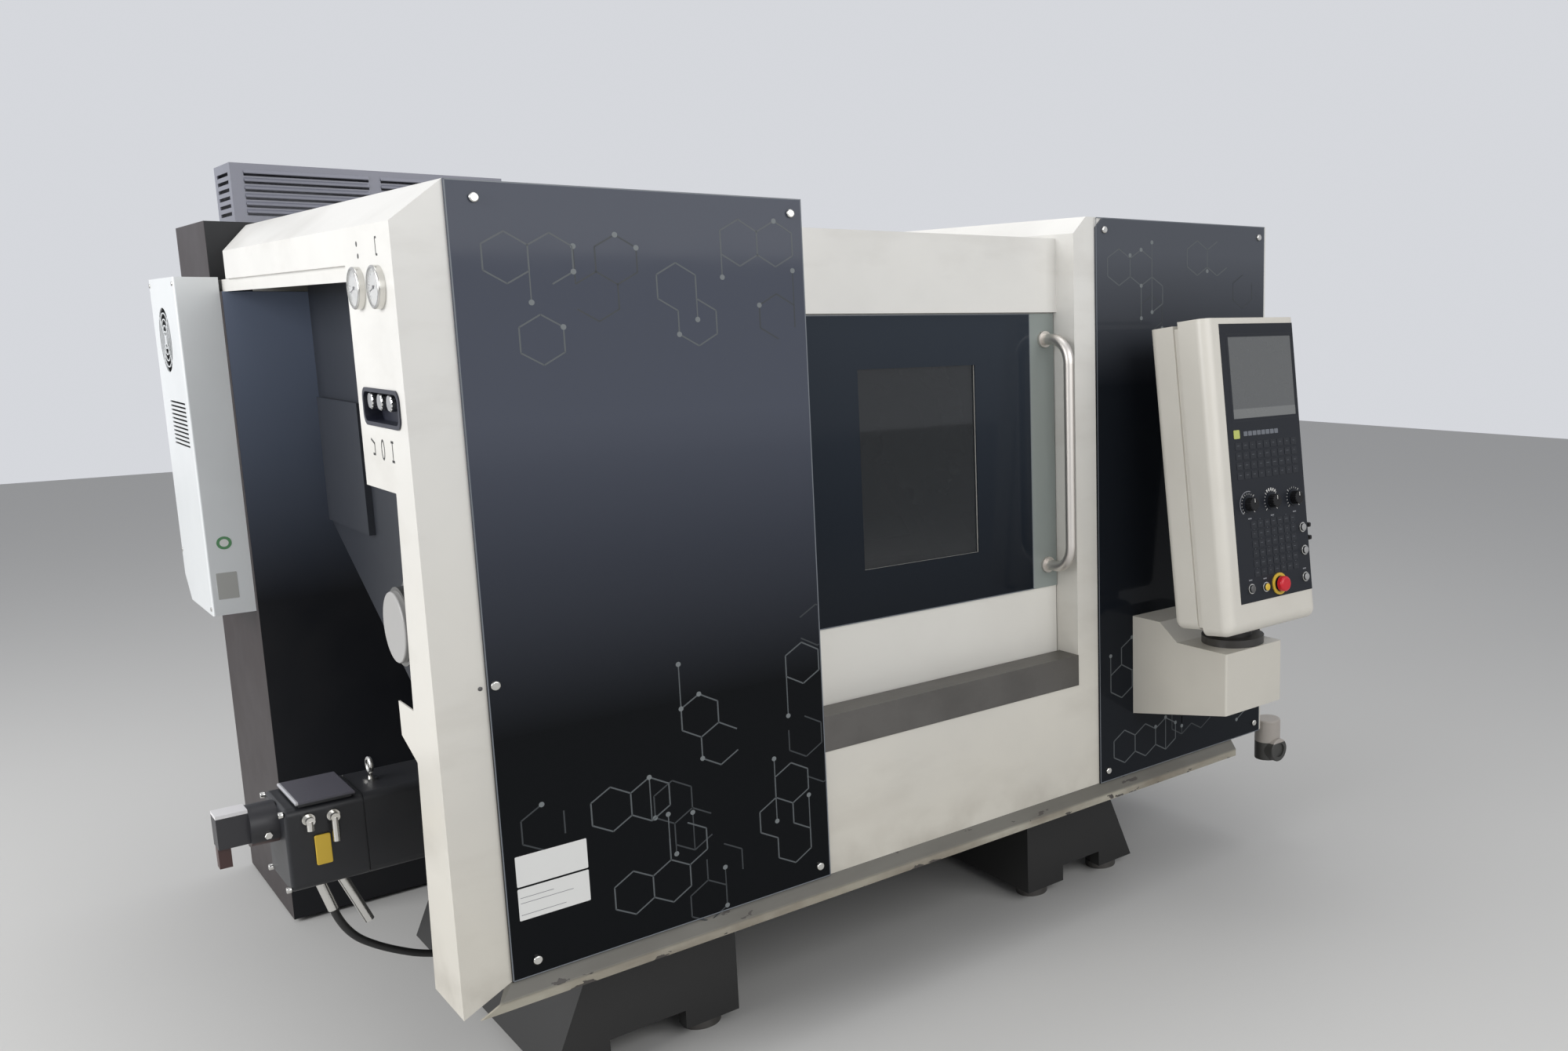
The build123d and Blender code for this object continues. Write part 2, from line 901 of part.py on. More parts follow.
def headstock():
    """Headstock with its two bearing seats, each bored to the spindle with a running gap."""
    right = head_left + head_length
    body = rod_x(head_radius, head_left, right, axis_y, axis_z)
    web = [slope(-head_radius, 0), slope(head_radius, 0), slope(head_radius + 25, -bed_drop),
           slope(-head_radius - 25, -bed_drop)]
    body += prism_x(web, head_left, right)
    body -= rod_x(spindle_radius + running_gap, head_left - 1, right + 1, axis_y, axis_z)
    return body - rod_x(head_bore, head_left + bearing_width, right - bearing_width, axis_y, axis_z)


def spindle():
    rear = cylinder_left + cylinder_length
    bar = rod_x(spindle_radius, rear, nose_left, axis_y, axis_z)
    bar += rod_x(nose_radius, nose_left, chuck_left, axis_y, axis_z)
    return bar - rod_x(spindle_bore, rear - 1, chuck_left + 1, axis_y, axis_z)


def grooved_pulley(radius, bore, y, z):
    wheel = rod_x(radius, pulley_left, pulley_left + pulley_width, y, z)
    pitch = pulley_width / (belt_count + 1)
    for i in range(belt_count):
        x = pulley_left + (i + 1) * pitch
        wheel -= rod_x(radius + 1, x - pitch / 6, x + pitch / 6, y, z) - rod_x(radius - 5, x - pitch,
                                                                               x + pitch, y, z)
    return wheel - rod_x(bore, pulley_left - 1, pulley_left + pulley_width + 1, y, z)


def belt_loop(offset, x0, x1):
    """The filled outline of a belt round both pulleys, at an offset outside their rims."""
    big = spindle_pulley_radius + offset
    small = motor_pulley_radius + offset
    dy, dz = motor_y - axis_y, motor_z - axis_z
    span = hypot(dy, dz)
    heading = atan2(dz, dy)
    lean = atan2(big - small, (span ** 2 - (big - small) ** 2) ** 0.5)
    corners = []
    for side in (1, -1):
        turn = heading + side * (pi / 2 - lean)
        corners.append((axis_y + big * cos(turn), axis_z + big * sin(turn)))
        corners.append((motor_y + small * cos(turn), motor_z + small * sin(turn)))
    quad = [corners[0], corners[1], corners[3], corners[2]]
    return prism_x(quad, x0, x1) + rod_x(big, x0, x1, axis_y, axis_z) + rod_x(small, x0, x1, motor_y,
                                                                              motor_z)


def drive_belts():
    x0, x1 = pulley_left + 4, pulley_left + pulley_width - 4
    return belt_loop(slide_gap + belt_thick, x0, x1) - belt_loop(slide_gap, x0 - 1, x1 + 1)


def chuck_body():
    chuck = rod_x(chuck_radius, chuck_left, chuck_right, axis_y, axis_z)
    chuck = chamfer(chuck.edges().group_by(Axis.X)[-1], 3)
    chuck -= rod_x(chuck_bore, chuck_left - 1, chuck_right + 1, axis_y, axis_z)
    half = jaw_width / 2 + slide_gap
    for turn in (0, 120, 240):
        slot = block(chuck_right - jaw_seat - slide_gap, chuck_right + 1, -half, half,
                     jaw_inner - jaw_stroke - slide_gap, chuck_radius + 1)
        chuck -= Pos(0, axis_y, axis_z) * Rot(turn, 0, 0) * slot
    return chuck


def chuck_jaw(turn):
    half = jaw_width / 2
    foot = block(chuck_right - jaw_seat, chuck_right, -half, half, jaw_inner, jaw_outer)
    low_step = block(chuck_right, chuck_right + jaw_proud / 2, -half, half, jaw_inner, jaw_outer)
    top_step = block(chuck_right + jaw_proud / 2, chuck_right + jaw_proud, -half, half,
                     (jaw_inner + jaw_outer) / 2, jaw_outer)
    jaw = foot + low_step + top_step
    x = chuck_right + jaw_proud * 0.72
    jaw -= block(x - 4, x + 4, -half - 1, half + 1, jaw_outer - 4, jaw_outer + 1)
    return Pos(0, axis_y, axis_z) * Rot(turn, 0, 0) * jaw


def hydraulic_cylinder():
    """Rotary cylinder behind the spindle, with its round cover on the end."""
    right = cylinder_left + cylinder_length
    body = rod_x(cylinder_radius * 0.87, right - 30, right, axis_y, axis_z)
    body += rod_x(cylinder_radius, cylinder_left + 30, right - 30, axis_y, axis_z)
    body += rod_x(cylinder_radius * 0.8, cylinder_left, cylinder_left + 30, axis_y, axis_z)
    for i in range(cylinder_bolt_count):
        angle = 2 * pi * i / cylinder_bolt_count
        y = axis_y + cylinder_radius * 0.92 * cos(angle)
        z = axis_z + cylinder_radius * 0.92 * sin(angle)
        body += rod_x(4, cylinder_left + 24, cylinder_left + 31, y, z)
    disc = rod_x(cover_disc_radius, cylinder_left - cover_disc_thick, cylinder_left, axis_y, axis_z)
    return body + fillet(disc.edges().group_by(Axis.X)[0], 4)


# Spindle motor

def motor_block(x0, x1, square):
    half = square / 2
    body = block(x0, x1, motor_y - half, motor_y + half, motor_z - half, motor_z + half)
    return fillet(body.edges().filter_by(Axis.X), motor_corner)


def spindle_motor():
    """Square motor: rear housing, stator and flange, with its terminal box on the rear housing."""
    joint = motor_left + end_cap_length
    rear = fillet(motor_block(motor_left, joint, motor_square).edges().group_by(Axis.X)[0], 8)
    neck = motor_block(joint, joint + end_cap_groove, motor_square - 2 * end_cap_groove)
    stator = motor_block(joint + end_cap_groove, motor_right - flange_thick, motor_square)
    flange = motor_block(motor_right - flange_thick, motor_right, flange_square)
    shaft = rod_x(motor_shaft, motor_right, pulley_left + pulley_width + 4, motor_y, motor_z)
    return rear + neck + stator + flange + shaft + terminal_box()


def terminal_box():
    low = motor_z + motor_square / 2
    y0 = motor_y - motor_square / 2
    y1 = y0 + box_width
    gap = box_setback
    box = block(box_left + gap, box_left + box_length - gap, y0 + gap, y1 - gap, low, low + box_height)
    lid = block(box_left, box_left + box_length, y0, y1, low + box_height, low + box_height + box_lid)
    return box + chamfer(lid.edges().group_by(Axis.Z)[-1], 2)


def motor_encoder():
    """Encoder housing behind the motor with its plug and the tail of the plug."""
    z = motor_z + encoder_rise
    body = rod_x(encoder_radius, motor_left - encoder_length, motor_left, motor_y, z)
    plug_right = motor_left - encoder_length
    left = plug_right - plug_length
    half = plug_width / 2
    plug = block(left, plug_right, motor_y - half, motor_y + half, z - plug_low, z + plug_high)
    tail = block(left, left + plug_length * 0.4, motor_y - half / 2, motor_y + half / 2,
                 z - plug_low - plug_tail, z - plug_low)
    return body + plug + tail


def hose_sleeve(start, heading, length):
    """A bright sleeve that leaves the motor's underside at a slant, cut flush with it."""
    under = motor_z - motor_square / 2
    along = Vector(*heading).normalized()
    low = Vector(*start)
    place = Plane(origin=tuple(low), z_dir=-along)
    sleeve = place * Pos(0, 0, length) * Cylinder(sleeve_radius, 2 * length)
    return sleeve - block(low.X - 200, low.X + 200, low.Y - 200, low.Y + 200, under, under + 400)


def motor_fittings():
    """Bright fittings: glands on the motor's front face, the lifting eye and the two hose sleeves."""
    half = motor_square / 2
    front = motor_y - half
    top = motor_z + half
    pieces = []
    for x, z, drop in gland_places:
        gland = rod_y(gland_radius, front - 12, front, x, top - z) + rod_y(gland_radius * 0.7,
                                                                           front - 30, front - 12, x,
                                                                           top - z)
        pieces.append(gland + rod_z(gland_radius * 0.6, top - z - drop, top - z, x, front - 24))
    stem = rod_z(eye_radius, top, top + 5, eye_x, motor_y) + rod_z(eye_thick, top, top + 20, eye_x, motor_y)
    ring = Pos(eye_x, motor_y, top + 18 + eye_radius) * Rot(0, 90, 0) * Torus(eye_radius, eye_thick)
    pieces.append(stem + ring)
    first, second = Vector(*hose_route[0]), Vector(*hose_route[1])
    along = (second - first).normalized()
    pieces.append(hose_sleeve(tuple(first - along * slide_gap), tuple(along), sleeve_length))
    pieces.append(hose_sleeve(spare_sleeve_end, spare_sleeve_heading, spare_sleeve_length))
    return pieces


def hose_radii():
    """One bend radius for each inner point: 0.45 of the shorter run over the tangent of half the turn."""
    points = [Vector(*p) for p in hose_route]
    radii = []
    for a, b, c in zip(points, points[1:], points[2:]):
        turn = radians((b - a).get_angle(c - b))
        radii.append(0.45 * min((b - a).length, (c - b).length) / tan(turn / 2))
    return radii


def motor_hose():
    path = FilletPolyline(*hose_route, radius=hose_radii())
    start = Vector(*hose_route[1]) - Vector(*hose_route[0])
    section = Plane(origin=hose_route[0], z_dir=start) * Circle(hose_radius)
    hose = sweep(section, path=path)
    print("hose bend radii", [round(r) for r in hose_radii()])
    print("hose volume over section times length",
          round(hose.volume / (pi * hose_radius ** 2 * path.length), 4))
    return hose


def hose_gland():
    """Gland in the left pedestal's flared side, on the line of the hose's last run."""
    end = Vector(*hose_route[-1])
    along = (end - Vector(*hose_route[-2])).normalized()
    place = Plane(origin=tuple(end + along * slide_gap), z_dir=along)
    return place * Pos(0, 0, gland_length / 2) * Cylinder(hose_radius + 6, gland_length)


# Carriage and turret

def saddle():
    x0 = carriage_rest + disc_width - gib_width
    x1 = x0 + saddle_length
    low = -bed_drop + way_height + slide_gap
    high = low + saddle_thick
    first = saddle_ways[0] - way_width / 2
    last = saddle_ways[1] + way_width / 2
    body = slope_block(first - 15, saddle_top, low, high, x0, x1)
    for a0, a1 in ((first - 15, first - slide_gap), (last + slide_gap, last + 15)):
        body += slope_block(a0, a1, low - 24, low, x0, x1)
    for x in (x0 + 40, x1 - 40 - gib_width):
        body += slope_block(first + 20, saddle_top - 10, high, high + gib_depth, x, x + gib_width)
    return body


def turret_slide():
    x0 = carriage_rest + disc_width
    x1 = x0 + saddle_length - gib_width
    rail_left = carriage_rest + disc_width - gib_width + rail_inset
    rail_right = rail_left + saddle_length - 2 * rail_inset - gib_width
    low = -bed_drop + way_height + saddle_thick + 2 * slide_gap
    high = low + slide_base
    reach = turret_base_half
    base = slope_block(turret_reach - reach, turret_reach + reach, low, high, x0, x1)
    for x in (rail_left, rail_right):
        base -= slope_block(turret_reach - reach - 1, turret_reach + reach + 1, low - 1, low + gib_depth,
                            x - slide_gap, x + gib_width + slide_gap)
    y, z = slope(turret_reach, 0)
    half = housing_half
    housing = slope_block(turret_reach - half, turret_reach + half, high, half, x0 + 10, x1)
    housing = fillet(housing.edges().filter_by(Axis.X).group_by(Axis.Z)[-1], 40)
    motor = rod_x(turret_motor_radius, x1, x1 + turret_motor_length, y, z)
    bore = rod_x(turret_shaft + running_gap, x0, x0 + turret_shaft_length + 1, y, z)
    return base + housing + motor - bore


def turret_disc():
    y, z = slope(turret_reach, 0)
    corners = []
    step = 2 * pi / turret_stations
    for i in range(turret_stations):
        corners.append((y + disc_radius * cos(step * (i + 0.5)), z + disc_radius * sin(step * (i + 0.5))))
    disc = prism_x(corners, carriage_rest, carriage_rest + disc_width)
    rear = carriage_rest + disc_width
    disc += rod_x(turret_shaft, rear, rear + turret_shaft_length, y, z)
    disc += rod_x(disc_radius * 0.45, carriage_rest - 12, carriage_rest, y, z)
    flat = disc_radius * cos(step / 2)
    mid_x = carriage_rest + disc_width / 2
    for i in range(turret_stations):
        left, half = mid_x - holder_length / 2, holder_width / 2
        seat = flat + holder_rise
        holder = block(left, left + holder_length, -half, half, flat - 2, seat)
        if i % 2 == 0:
            half = shank_width / 2
            holder += block(left + 2, left + 2 + shank_width, -half, half, seat - 8, tool_radius - 1)
            holder += block(left - 6, left + 10, -half + 2, half - 2, tool_radius - 2 - tip_height,
                            tool_radius - 2)
        else:
            holder += rod_z(collet_radius, seat - 8, seat - 8 + collet_rise, mid_x, 0)
            holder += rod_z(drill_radius, seat + 12, tool_radius - 8, mid_x, 0)
        disc += Pos(0, y, z) * Rot(degrees(step) * i, 0, 0) * holder
    return disc


# Tailstock

def tailstock():
    x0, x1 = tail_left, tail_left + tail_length
    low = -bed_drop + way_height + slide_gap
    first = tail_ways[0] - way_width / 2
    last = tail_ways[1] + way_width / 2
    base = slope_block(first - 15, last + 15, low, low + 60, x0, x1)
    for a0, a1 in ((first - 15, first - slide_gap), (last + slide_gap, last + 15)):
        base += slope_block(a0, a1, low - 24, low, x0, x1)
    web = [slope(first, low + 60), slope(last, low + 60), slope(tail_radius * 0.7, -tail_radius * 0.6),
           slope(-tail_radius * 0.9, 0)]
    body = base + prism_x(web, x0 + 20, x1 - 20) + rod_x(tail_radius, x0, x1, axis_y, axis_z)
    return body - rod_x(quill_radius + running_gap, x0 - 1, x1 - 15, axis_y, axis_z)


def tailstock_quill():
    left = tail_left - quill_out
    quill = rod_x(quill_radius, left, tail_left + tail_length - 20, axis_y, axis_z)
    return quill - rod_x(centre_shank + running_gap, left - 1, left + 76, axis_y, axis_z)


def live_centre():
    left = tail_left - quill_out
    body = rod_x(centre_shank, left, left + 70, axis_y, axis_z)
    body += rod_x(centre_radius, left - slide_gap - centre_body, left - slide_gap, axis_y, axis_z)
    body += rod_x(centre_shank, left - slide_gap, left, axis_y, axis_z)
    nose = Pos(left - slide_gap - centre_body - centre_point / 2, axis_y, axis_z) * Rot(0, -90, 0)
    return body + nose * Cone(centre_radius * 0.6, 1, centre_point)


# Work area walls

def work_area_liner():
    low_end = slope(slope_low, -bed_drop)
    high_end = slope(slope_high, -bed_drop)
    shelf = high_end[1]
    top = middle_top - sheet
    side = [
        (liner_front, top),
        (liner_rear + sheet, top),
        (liner_rear + sheet, shelf),
        high_end,
        low_end,
        (bed_front, bed_low + bed_toe),
        (bed_front, bed_low + bed_toe / 2),
        (pan_front + sheet, pan_low - sheet),
        (pan_front + sheet, sill_top - 4 * sheet),
        (liner_front, sill_top - 4 * sheet),
    ]
    liner = prism_x(side, liner_left, liner_left + sheet)
    liner -= rod_x(nose_radius + nose_hole_gap, liner_left - 1, liner_left + sheet + 1, axis_y, axis_z)
    liner += prism_x(side, liner_right, liner_right + sheet)
    liner += block(liner_left, liner_right + sheet, liner_rear, liner_rear + sheet, shelf, top)
    return liner + block(liner_left, liner_right + sheet, high_end[0] + 40, liner_rear, shelf,
                         shelf + sheet)


def chip_pan():
    outline = folded([
        (bed_front, bed_low + bed_toe / 2),
        (pan_front, pan_low - sheet),
        (pan_front, sill_top - 4 * sheet),
    ], -sheet)
    pan = prism_x(outline, liner_left + sheet, liner_right)
    pan -= block(liner_left, liner_right + sheet, bed_front, bed_front + 4 * sheet, bed_low,
                 bed_low + bed_toe)
    mid = (bed_front + pan_front) / 2
    slot = block(chip_slot_left, chip_slot_left + chip_slot_length, mid - chip_slot_width / 2,
                 mid + chip_slot_width / 2, bed_low, pan_low + 60)
    return pan - slot


def belt_guard():
    outline = [
        (guard_front, guard_front_low),
        (cabinet_front, guard_rear_low),
        (cabinet_front, lip_low - sheet),
        (cabinet_front - 60, cover_top - sheet),
        (guard_front, cover_top - sheet),
    ]
    guard = prism_x(outline, guard_x, guard_x + sheet)
    duct_rear = cabinet_front - 42
    return guard + block(guard_x - duct_depth, guard_x, duct_rear - duct_width, duct_rear, duct_low,
                         duct_low + duct_height)


# Pendant and its arm

def on_pendant(shape):
    """Places a shape drawn on the upright pendant: X from its left side, Y from its face,
    Z from its foot."""
    return Pos(pendant_left, pendant_front, pendant_low) * Rot(-pendant_tilt, 0, 0) * shape


def pendant_layers():
    """The pendant's front shell and rear shell with a groove between them."""
    front = block(0, pendant_width, 0, pendant_layer, 0, pendant_height)
    front = fillet(front.edges().filter_by(Axis.Y).group_by(Axis.Z)[0], pendant_low_corner)
    front = fillet(front.edges().filter_by(Axis.Z).group_by(Axis.Y)[0], pendant_corner)
    y = pendant_layer + pendant_groove
    side = pendant_rear_side
    rear = block(side, pendant_width - side, y, y + pendant_rear_layer, pendant_rear_low,
                 pendant_height - pendant_rear_top)
    rear = fillet(rear.edges().filter_by(Axis.Y).group_by(Axis.Z)[0], pendant_low_corner)
    rear = fillet(rear.edges().filter_by(Axis.Z).group_by(Axis.Y)[-1], pendant_corner)
    side += pendant_groove_depth
    neck = block(side, pendant_width - side, pendant_layer, y, pendant_rear_low + side,
                 pendant_height - pendant_rear_top - side)
    return front, neck, rear


def panel_frame():
    """Low left corner and size of the black panel on the pendant's face."""
    width = pendant_width - panel_left_margin - panel_right_margin
    height = pendant_height - panel_low_margin - panel_top_margin
    return panel_left_margin, panel_low_margin, width, height


def pendant_housing():
    """Pendant with its recess for the black panel and the swivel post under it."""
    x, z, width, height = panel_frame()
    front, neck, rear = pendant_layers()
    body = front + neck + rear - block(x, x + width, -1, panel_thick - 1, z, z + height)
    return on_pendant(body) + pendant_swivel()


def control_panel():
    """Black panel with its screen recess, its push buttons and key switch, and the dials' collars."""
    x, z, width, height = panel_frame()
    panel = block(x, x + width, -1, panel_thick - 1, z, z + height)
    x0 = x + screen_left
    z0 = z + screen_low
    panel -= block(x0, x0 + screen_width, -2, 0.5, z0, z0 + screen_height)
    for px, pz in button_places:
        panel += rod_y(button_radius, -8, -1, x + px, z + pz)
    for px in dial_places:
        panel += rod_y(dial_radius + 5, -3, -1, x + px, z + dial_row)
        panel += rod_y(dial_pin, -14, -1, x + px, z + dial_row)
    px, pz = estop_place
    panel += rod_y(estop_radius + 8, -5, -1, x + px, z + pz)
    panel -= rod_y(estop_stem + running_gap, -6, panel_thick, x + px, z + pz)
    return on_pendant(panel)


def override_dial(place):
    x, z, _, _ = panel_frame()
    rear = -3 - slide_gap
    dial = rod_y(dial_radius, rear - dial_length, rear, x + place, z + dial_row)
    dial = chamfer(dial.edges().group_by(Axis.Y)[0], 2)
    for i in range(dial_grip_count):
        angle = 2 * pi * i / dial_grip_count
        dial -= rod_y(1.4, rear - dial_length - 1, rear - 4, x + place + dial_radius * cos(angle),
                      z + dial_row + dial_radius * sin(angle))
    dial -= block(x + place - 1, x + place + 1, rear - dial_length - 1, rear - dial_length + 1,
                  z + dial_row, z + dial_row + dial_radius)
    dial -= rod_y(dial_pin + running_gap, -15, 0, x + place, z + dial_row)
    return on_pendant(dial)


def estop_button():
    x, z, _, _ = panel_frame()
    px, pz = estop_place
    rear = -5 - estop_travel - slide_gap
    head = rod_y(estop_radius, rear - 16, rear, x + px, z + pz)
    head = fillet(head.edges().group_by(Axis.Y)[0], 7)
    inner = panel_thick - 1 - estop_travel - slide_gap
    return on_pendant(head + rod_y(estop_stem, rear, inner, x + px, z + pz))


def pendant_swivel():
    """Turning post under the pendant, cut to its underside, with its flange and spigot."""
    x = pendant_left + pendant_width / 2
    low = arm_flat + slide_gap
    post = rod_z(swivel_radius, low, pendant_low + 2 * pendant_rear_low, x, swivel_y)
    seam = pendant_layer + pendant_groove
    post -= on_pendant(block(-1, pendant_width + 1, -1, seam, 0, 4 * pendant_rear_low))
    post -= on_pendant(block(-1, pendant_width + 1, seam - 1, 2 * seam, pendant_rear_low,
                             4 * pendant_rear_low))
    disc = rod_z(swivel_disc_radius, low, low + swivel_disc_height, x, swivel_y)
    return post + disc + rod_z(spigot_radius, arm_flat - spigot_depth, low, x, swivel_y)


def pendant_arm():
    profile = [
        (-glass, arm_top),
        (-arm_top_depth, arm_top),
        (-arm_slope_depth, arm_flat),
        (-arm_depth, arm_flat),
        (-arm_depth, arm_front_low),
        (-glass, arm_low),
    ]
    right = arm_left + arm_width
    arm = prism_x(profile, arm_left, right)
    arm = fillet(arm.edges().filter_by(Axis.Z).group_by(Axis.Y)[0], 6)
    hollow = [
        (-glass + 1, arm_top - sheet),
        (-arm_top_depth + sheet / 2, arm_top - sheet),
        (-arm_slope_depth + sheet / 2, arm_flat - sheet),
        (-arm_depth + 2 * sheet, arm_flat - sheet),
        (-arm_depth + 2 * sheet, arm_front_low + 2 * sheet),
        (-glass + 1, arm_low + sheet),
    ]
    arm -= prism_x(hollow, arm_left + sheet, right - sheet)
    x = pendant_left + pendant_width / 2
    deep = spigot_depth + 10
    arm += rod_z(spigot_radius + 12, arm_flat - deep, arm_flat - sheet / 2, x, swivel_y)
    arm -= rod_z(spigot_radius + running_gap, arm_flat - spigot_depth - 1, arm_flat + 1, x, swivel_y)
    peg_y = -arm_depth / 2
    peg_low = arm_low + (arm_front_low - arm_low) / 2 - 14
    return arm + rod_z(6, peg_low, peg_low + 18, x + 10, peg_y)


# Electrical cabinet

def cabinet_outline(inset):
    rear = cabinet_rear + 1 if inset else cabinet_rear
    return [
        (cabinet_front + inset, cabinet_low + inset),
        (rear, cabinet_low + inset),
        (rear, cabinet_top - inset),
        (cabinet_step_y + inset, cabinet_top - inset),
        (cabinet_step_y + inset, lip_low - inset),
        (cabinet_front + inset, lip_low - inset),
    ]


def cabinet_body():
    """Steel cabinet, open at the rear, with its hinge pins and the drives on its mounting plate."""
    body = prism_x(cabinet_outline(0), cabinet_left, cabinet_right)
    body -= prism_x(cabinet_outline(sheet), cabinet_left + sheet, cabinet_right - sheet)
    body += drive_modules()
    side = cabinet_foot * 2
    for x in (cabinet_left + side, cabinet_right - side):
        for y in (cabinet_front + side, cabinet_rear - side):
            body += rod_z(cabinet_foot, 0, cabinet_low, x, y)
    hinge_y = cabinet_rear + cabinet_door_thick + hinge_out
    for z in hinge_heights():
        body += block(cabinet_right, cabinet_right + sheet, cabinet_rear - 40, hinge_y,
                      z - hinge_length, z - 1)
        knuckle = rod_z(hinge_radius, z - hinge_length, z - 1, cabinet_right + sheet, hinge_y)
        body += knuckle + rod_z(hinge_pin, z - 2, z + hinge_length, cabinet_right + sheet, hinge_y)
    return body


def hinge_heights():
    return (cabinet_low + 250, cabinet_top - 350)


def cabinet_door():
    left = cabinet_left + 4
    right = cabinet_right - 8
    front = cabinet_rear + slide_gap
    rear = cabinet_rear + cabinet_door_thick
    door = block(left, right, front, rear, cabinet_low + 10, cabinet_top - 10)
    door -= block(left + sheet, right - sheet, cabinet_rear, rear - sheet, cabinet_low + 10 + sheet,
                  cabinet_top - 10 - sheet)
    hinge_y = cabinet_rear + cabinet_door_thick + hinge_out
    pin_x = cabinet_right + sheet
    for z in hinge_heights():
        door += block(right - 40, pin_x, rear, rear + sheet, z, z + hinge_length)
        door += rod_z(hinge_radius, z, z + hinge_length, pin_x, hinge_y)
        door -= rod_z(hinge_pin + running_gap, z - 1, z + hinge_length + 1, pin_x, hinge_y)
    handle_z = (cabinet_low + cabinet_top) / 2
    door += block(left + 50, left + 80, rear, rear + 6, handle_z - 60, handle_z + 60)
    door += block(left + 58, left + 72, rear + 6, rear + 22, handle_z - 50, handle_z + 50)
    return door


def drive_modules():
    """Mounting plate inside the cabinet with the servo drives and the supply on it."""
    y = cabinet_front + sheet
    left = cabinet_left + cabinet_rail_gap
    right = cabinet_right - cabinet_rail_gap
    plate = block(left, right, y, y + sheet, cabinet_low + filter_low - 100, lip_low - 100)
    first = left + cabinet_rail_gap / 2
    pitch = (right - left - cabinet_rail_gap) / drive_count
    for i in range(drive_count):
        x = first + i * pitch
        deep = drive_deep - 20 * (i % 2)
        plate += block(x, x + pitch - drive_gap, y + sheet, y + deep, cabinet_low + drive_low,
                       lip_low - drive_deep)
        plate += block(x + 8, x + pitch - 2 * drive_gap, y + sheet, y + supply_deep,
                       cabinet_low + supply_low, cabinet_low + supply_high)
    return plate + block(first, right - cabinet_rail_gap / 2, y, y + filter_deep,
                         cabinet_low + filter_low, cabinet_low + filter_high)


def louvre_box():
    x0, x1 = louvre_left, louvre_left + louvre_width
    y0, y1 = cabinet_step_y + 2, cabinet_step_y + 2 + louvre_depth
    z0, z1 = cabinet_top, cabinet_top + louvre_height
    box = block(x0, x1, y0, y1, z0, z1)
    box -= block(x0 + sheet, x1 - sheet, y0 + sheet, y1 - sheet, z0 - 1, z1 - sheet)
    pitch = (louvre_height - 30) / louvre_rows
    column = (louvre_width - 90) / 2
    for row in range(louvre_rows):
        z = z0 + 18 + row * pitch
        for left in (x0 + 30, x0 + 60 + column):
            box -= block(left, left + column, y0 - 1, y0 + sheet + 1, z, z + pitch * 0.45)
            hood = [(y0, z + pitch * 0.8), (y0 - 6, z + pitch * 0.4), (y0 - 5, z + pitch * 0.3),
                    (y0 + 1, z + pitch * 0.6)]
            box += prism_x(hood, left, left + column)
        box -= block(x0 - 1, x0 + sheet + 1, y0 + 30, y1 - 30, z, z + pitch * 0.45)
    return box


def cooling_housing():
    x0, x1 = cabinet_left - cooler_depth, cabinet_left
    y0, y1 = cooler_front, cooler_front + cooler_length
    z0, z1 = cooler_low, cooler_low + cooler_height
    outline = [(y0, z0), (y1 - cooler_cut, z0), (y1, z0 + cooler_cut), (y1, z1), (y0, z1)]
    t = sheet
    inner = [(y0 + t, z0 + t), (y1 - cooler_cut - t, z0 + t), (y1 - t, z0 + cooler_cut + t),
             (y1 - t, z1 - t), (y0 + t, z1 - t)]
    body = prism_x(outline, x0, x1)
    body = fillet(body.edges().filter_by(Axis.Z).group_by(Axis.X)[0], 5)
    body -= prism_x(inner, x0 + t, x1 + 1)
    body -= rod_x(fan_radius, x0 - 1, x0 + t + 1, fan_y, fan_z)
    for radius in (22, 38, 54, 70):
        body += rod_x(radius + 1.5, x0, x0 + 2, fan_y, fan_z) - rod_x(radius - 1.5, x0 - 1, x0 + t,
                                                                      fan_y, fan_z)
    for turn in (45, 135):
        bar = block(x0, x0 + 2, -fan_radius - 1, fan_radius + 1, -2.5, 2.5)
        body += Pos(0, fan_y, fan_z) * Rot(turn, 0, 0) * bar
    body += rod_x(12, x0, x0 + 6, fan_y, fan_z) + rod_x(fan_pin, x0, x0 + 40, fan_y, fan_z)
    pitch = 11.0
    for row in range(vent_rows):
        z = fan_z - fan_radius - 190 + row * pitch
        body -= block(x0 - 1, x0 + t + 1, y0 + 36, y0 + 250, z, z + pitch * 0.45)
    return body


def cooling_fan():
    x0 = cabinet_left - cooler_depth + 8
    hub = rod_x(22, x0, x0 + 30, fan_y, fan_z)
    step = 360 / fan_blades
    reach = fan_radius - 6
    for i in range(fan_blades):
        blade = Pos(x0 + 15, 0, 0) * Rot(0, 0, 35) * block(-1.5, 1.5, -20, 20, 16, reach)
        hub += Pos(0, fan_y, fan_z) * Rot(step * i, 0, 0) * blade
    return hub - rod_x(fan_pin + running_gap, x0 - 1, x0 + 32, fan_y, fan_z)


def coolant_filter():
    """Strainer on a bracket at the right end: pale head, dark bowl with its cap to the front."""
    x = right_end + filter_out
    low = cover_low - filter_drop
    body = rod_z(filter_radius, low, low + filter_height, x, filter_y)
    body = fillet(body.edges().group_by(Axis.Z)[-1], 6)
    z = low + filter_cap_rise
    cap = rod_y(filter_cap_radius, filter_y - filter_cap_out, filter_y, x, z)
    cap = fillet(cap.edges().group_by(Axis.Y)[0], 4)
    cap -= rod_y(filter_cap_radius * 0.6, filter_y - filter_cap_out - 1, filter_y - filter_cap_out + 5,
                 x, z)
    return body + cap + block(right_end, x, filter_y - 4, filter_y + 4, cover_low, low + filter_height - 7)


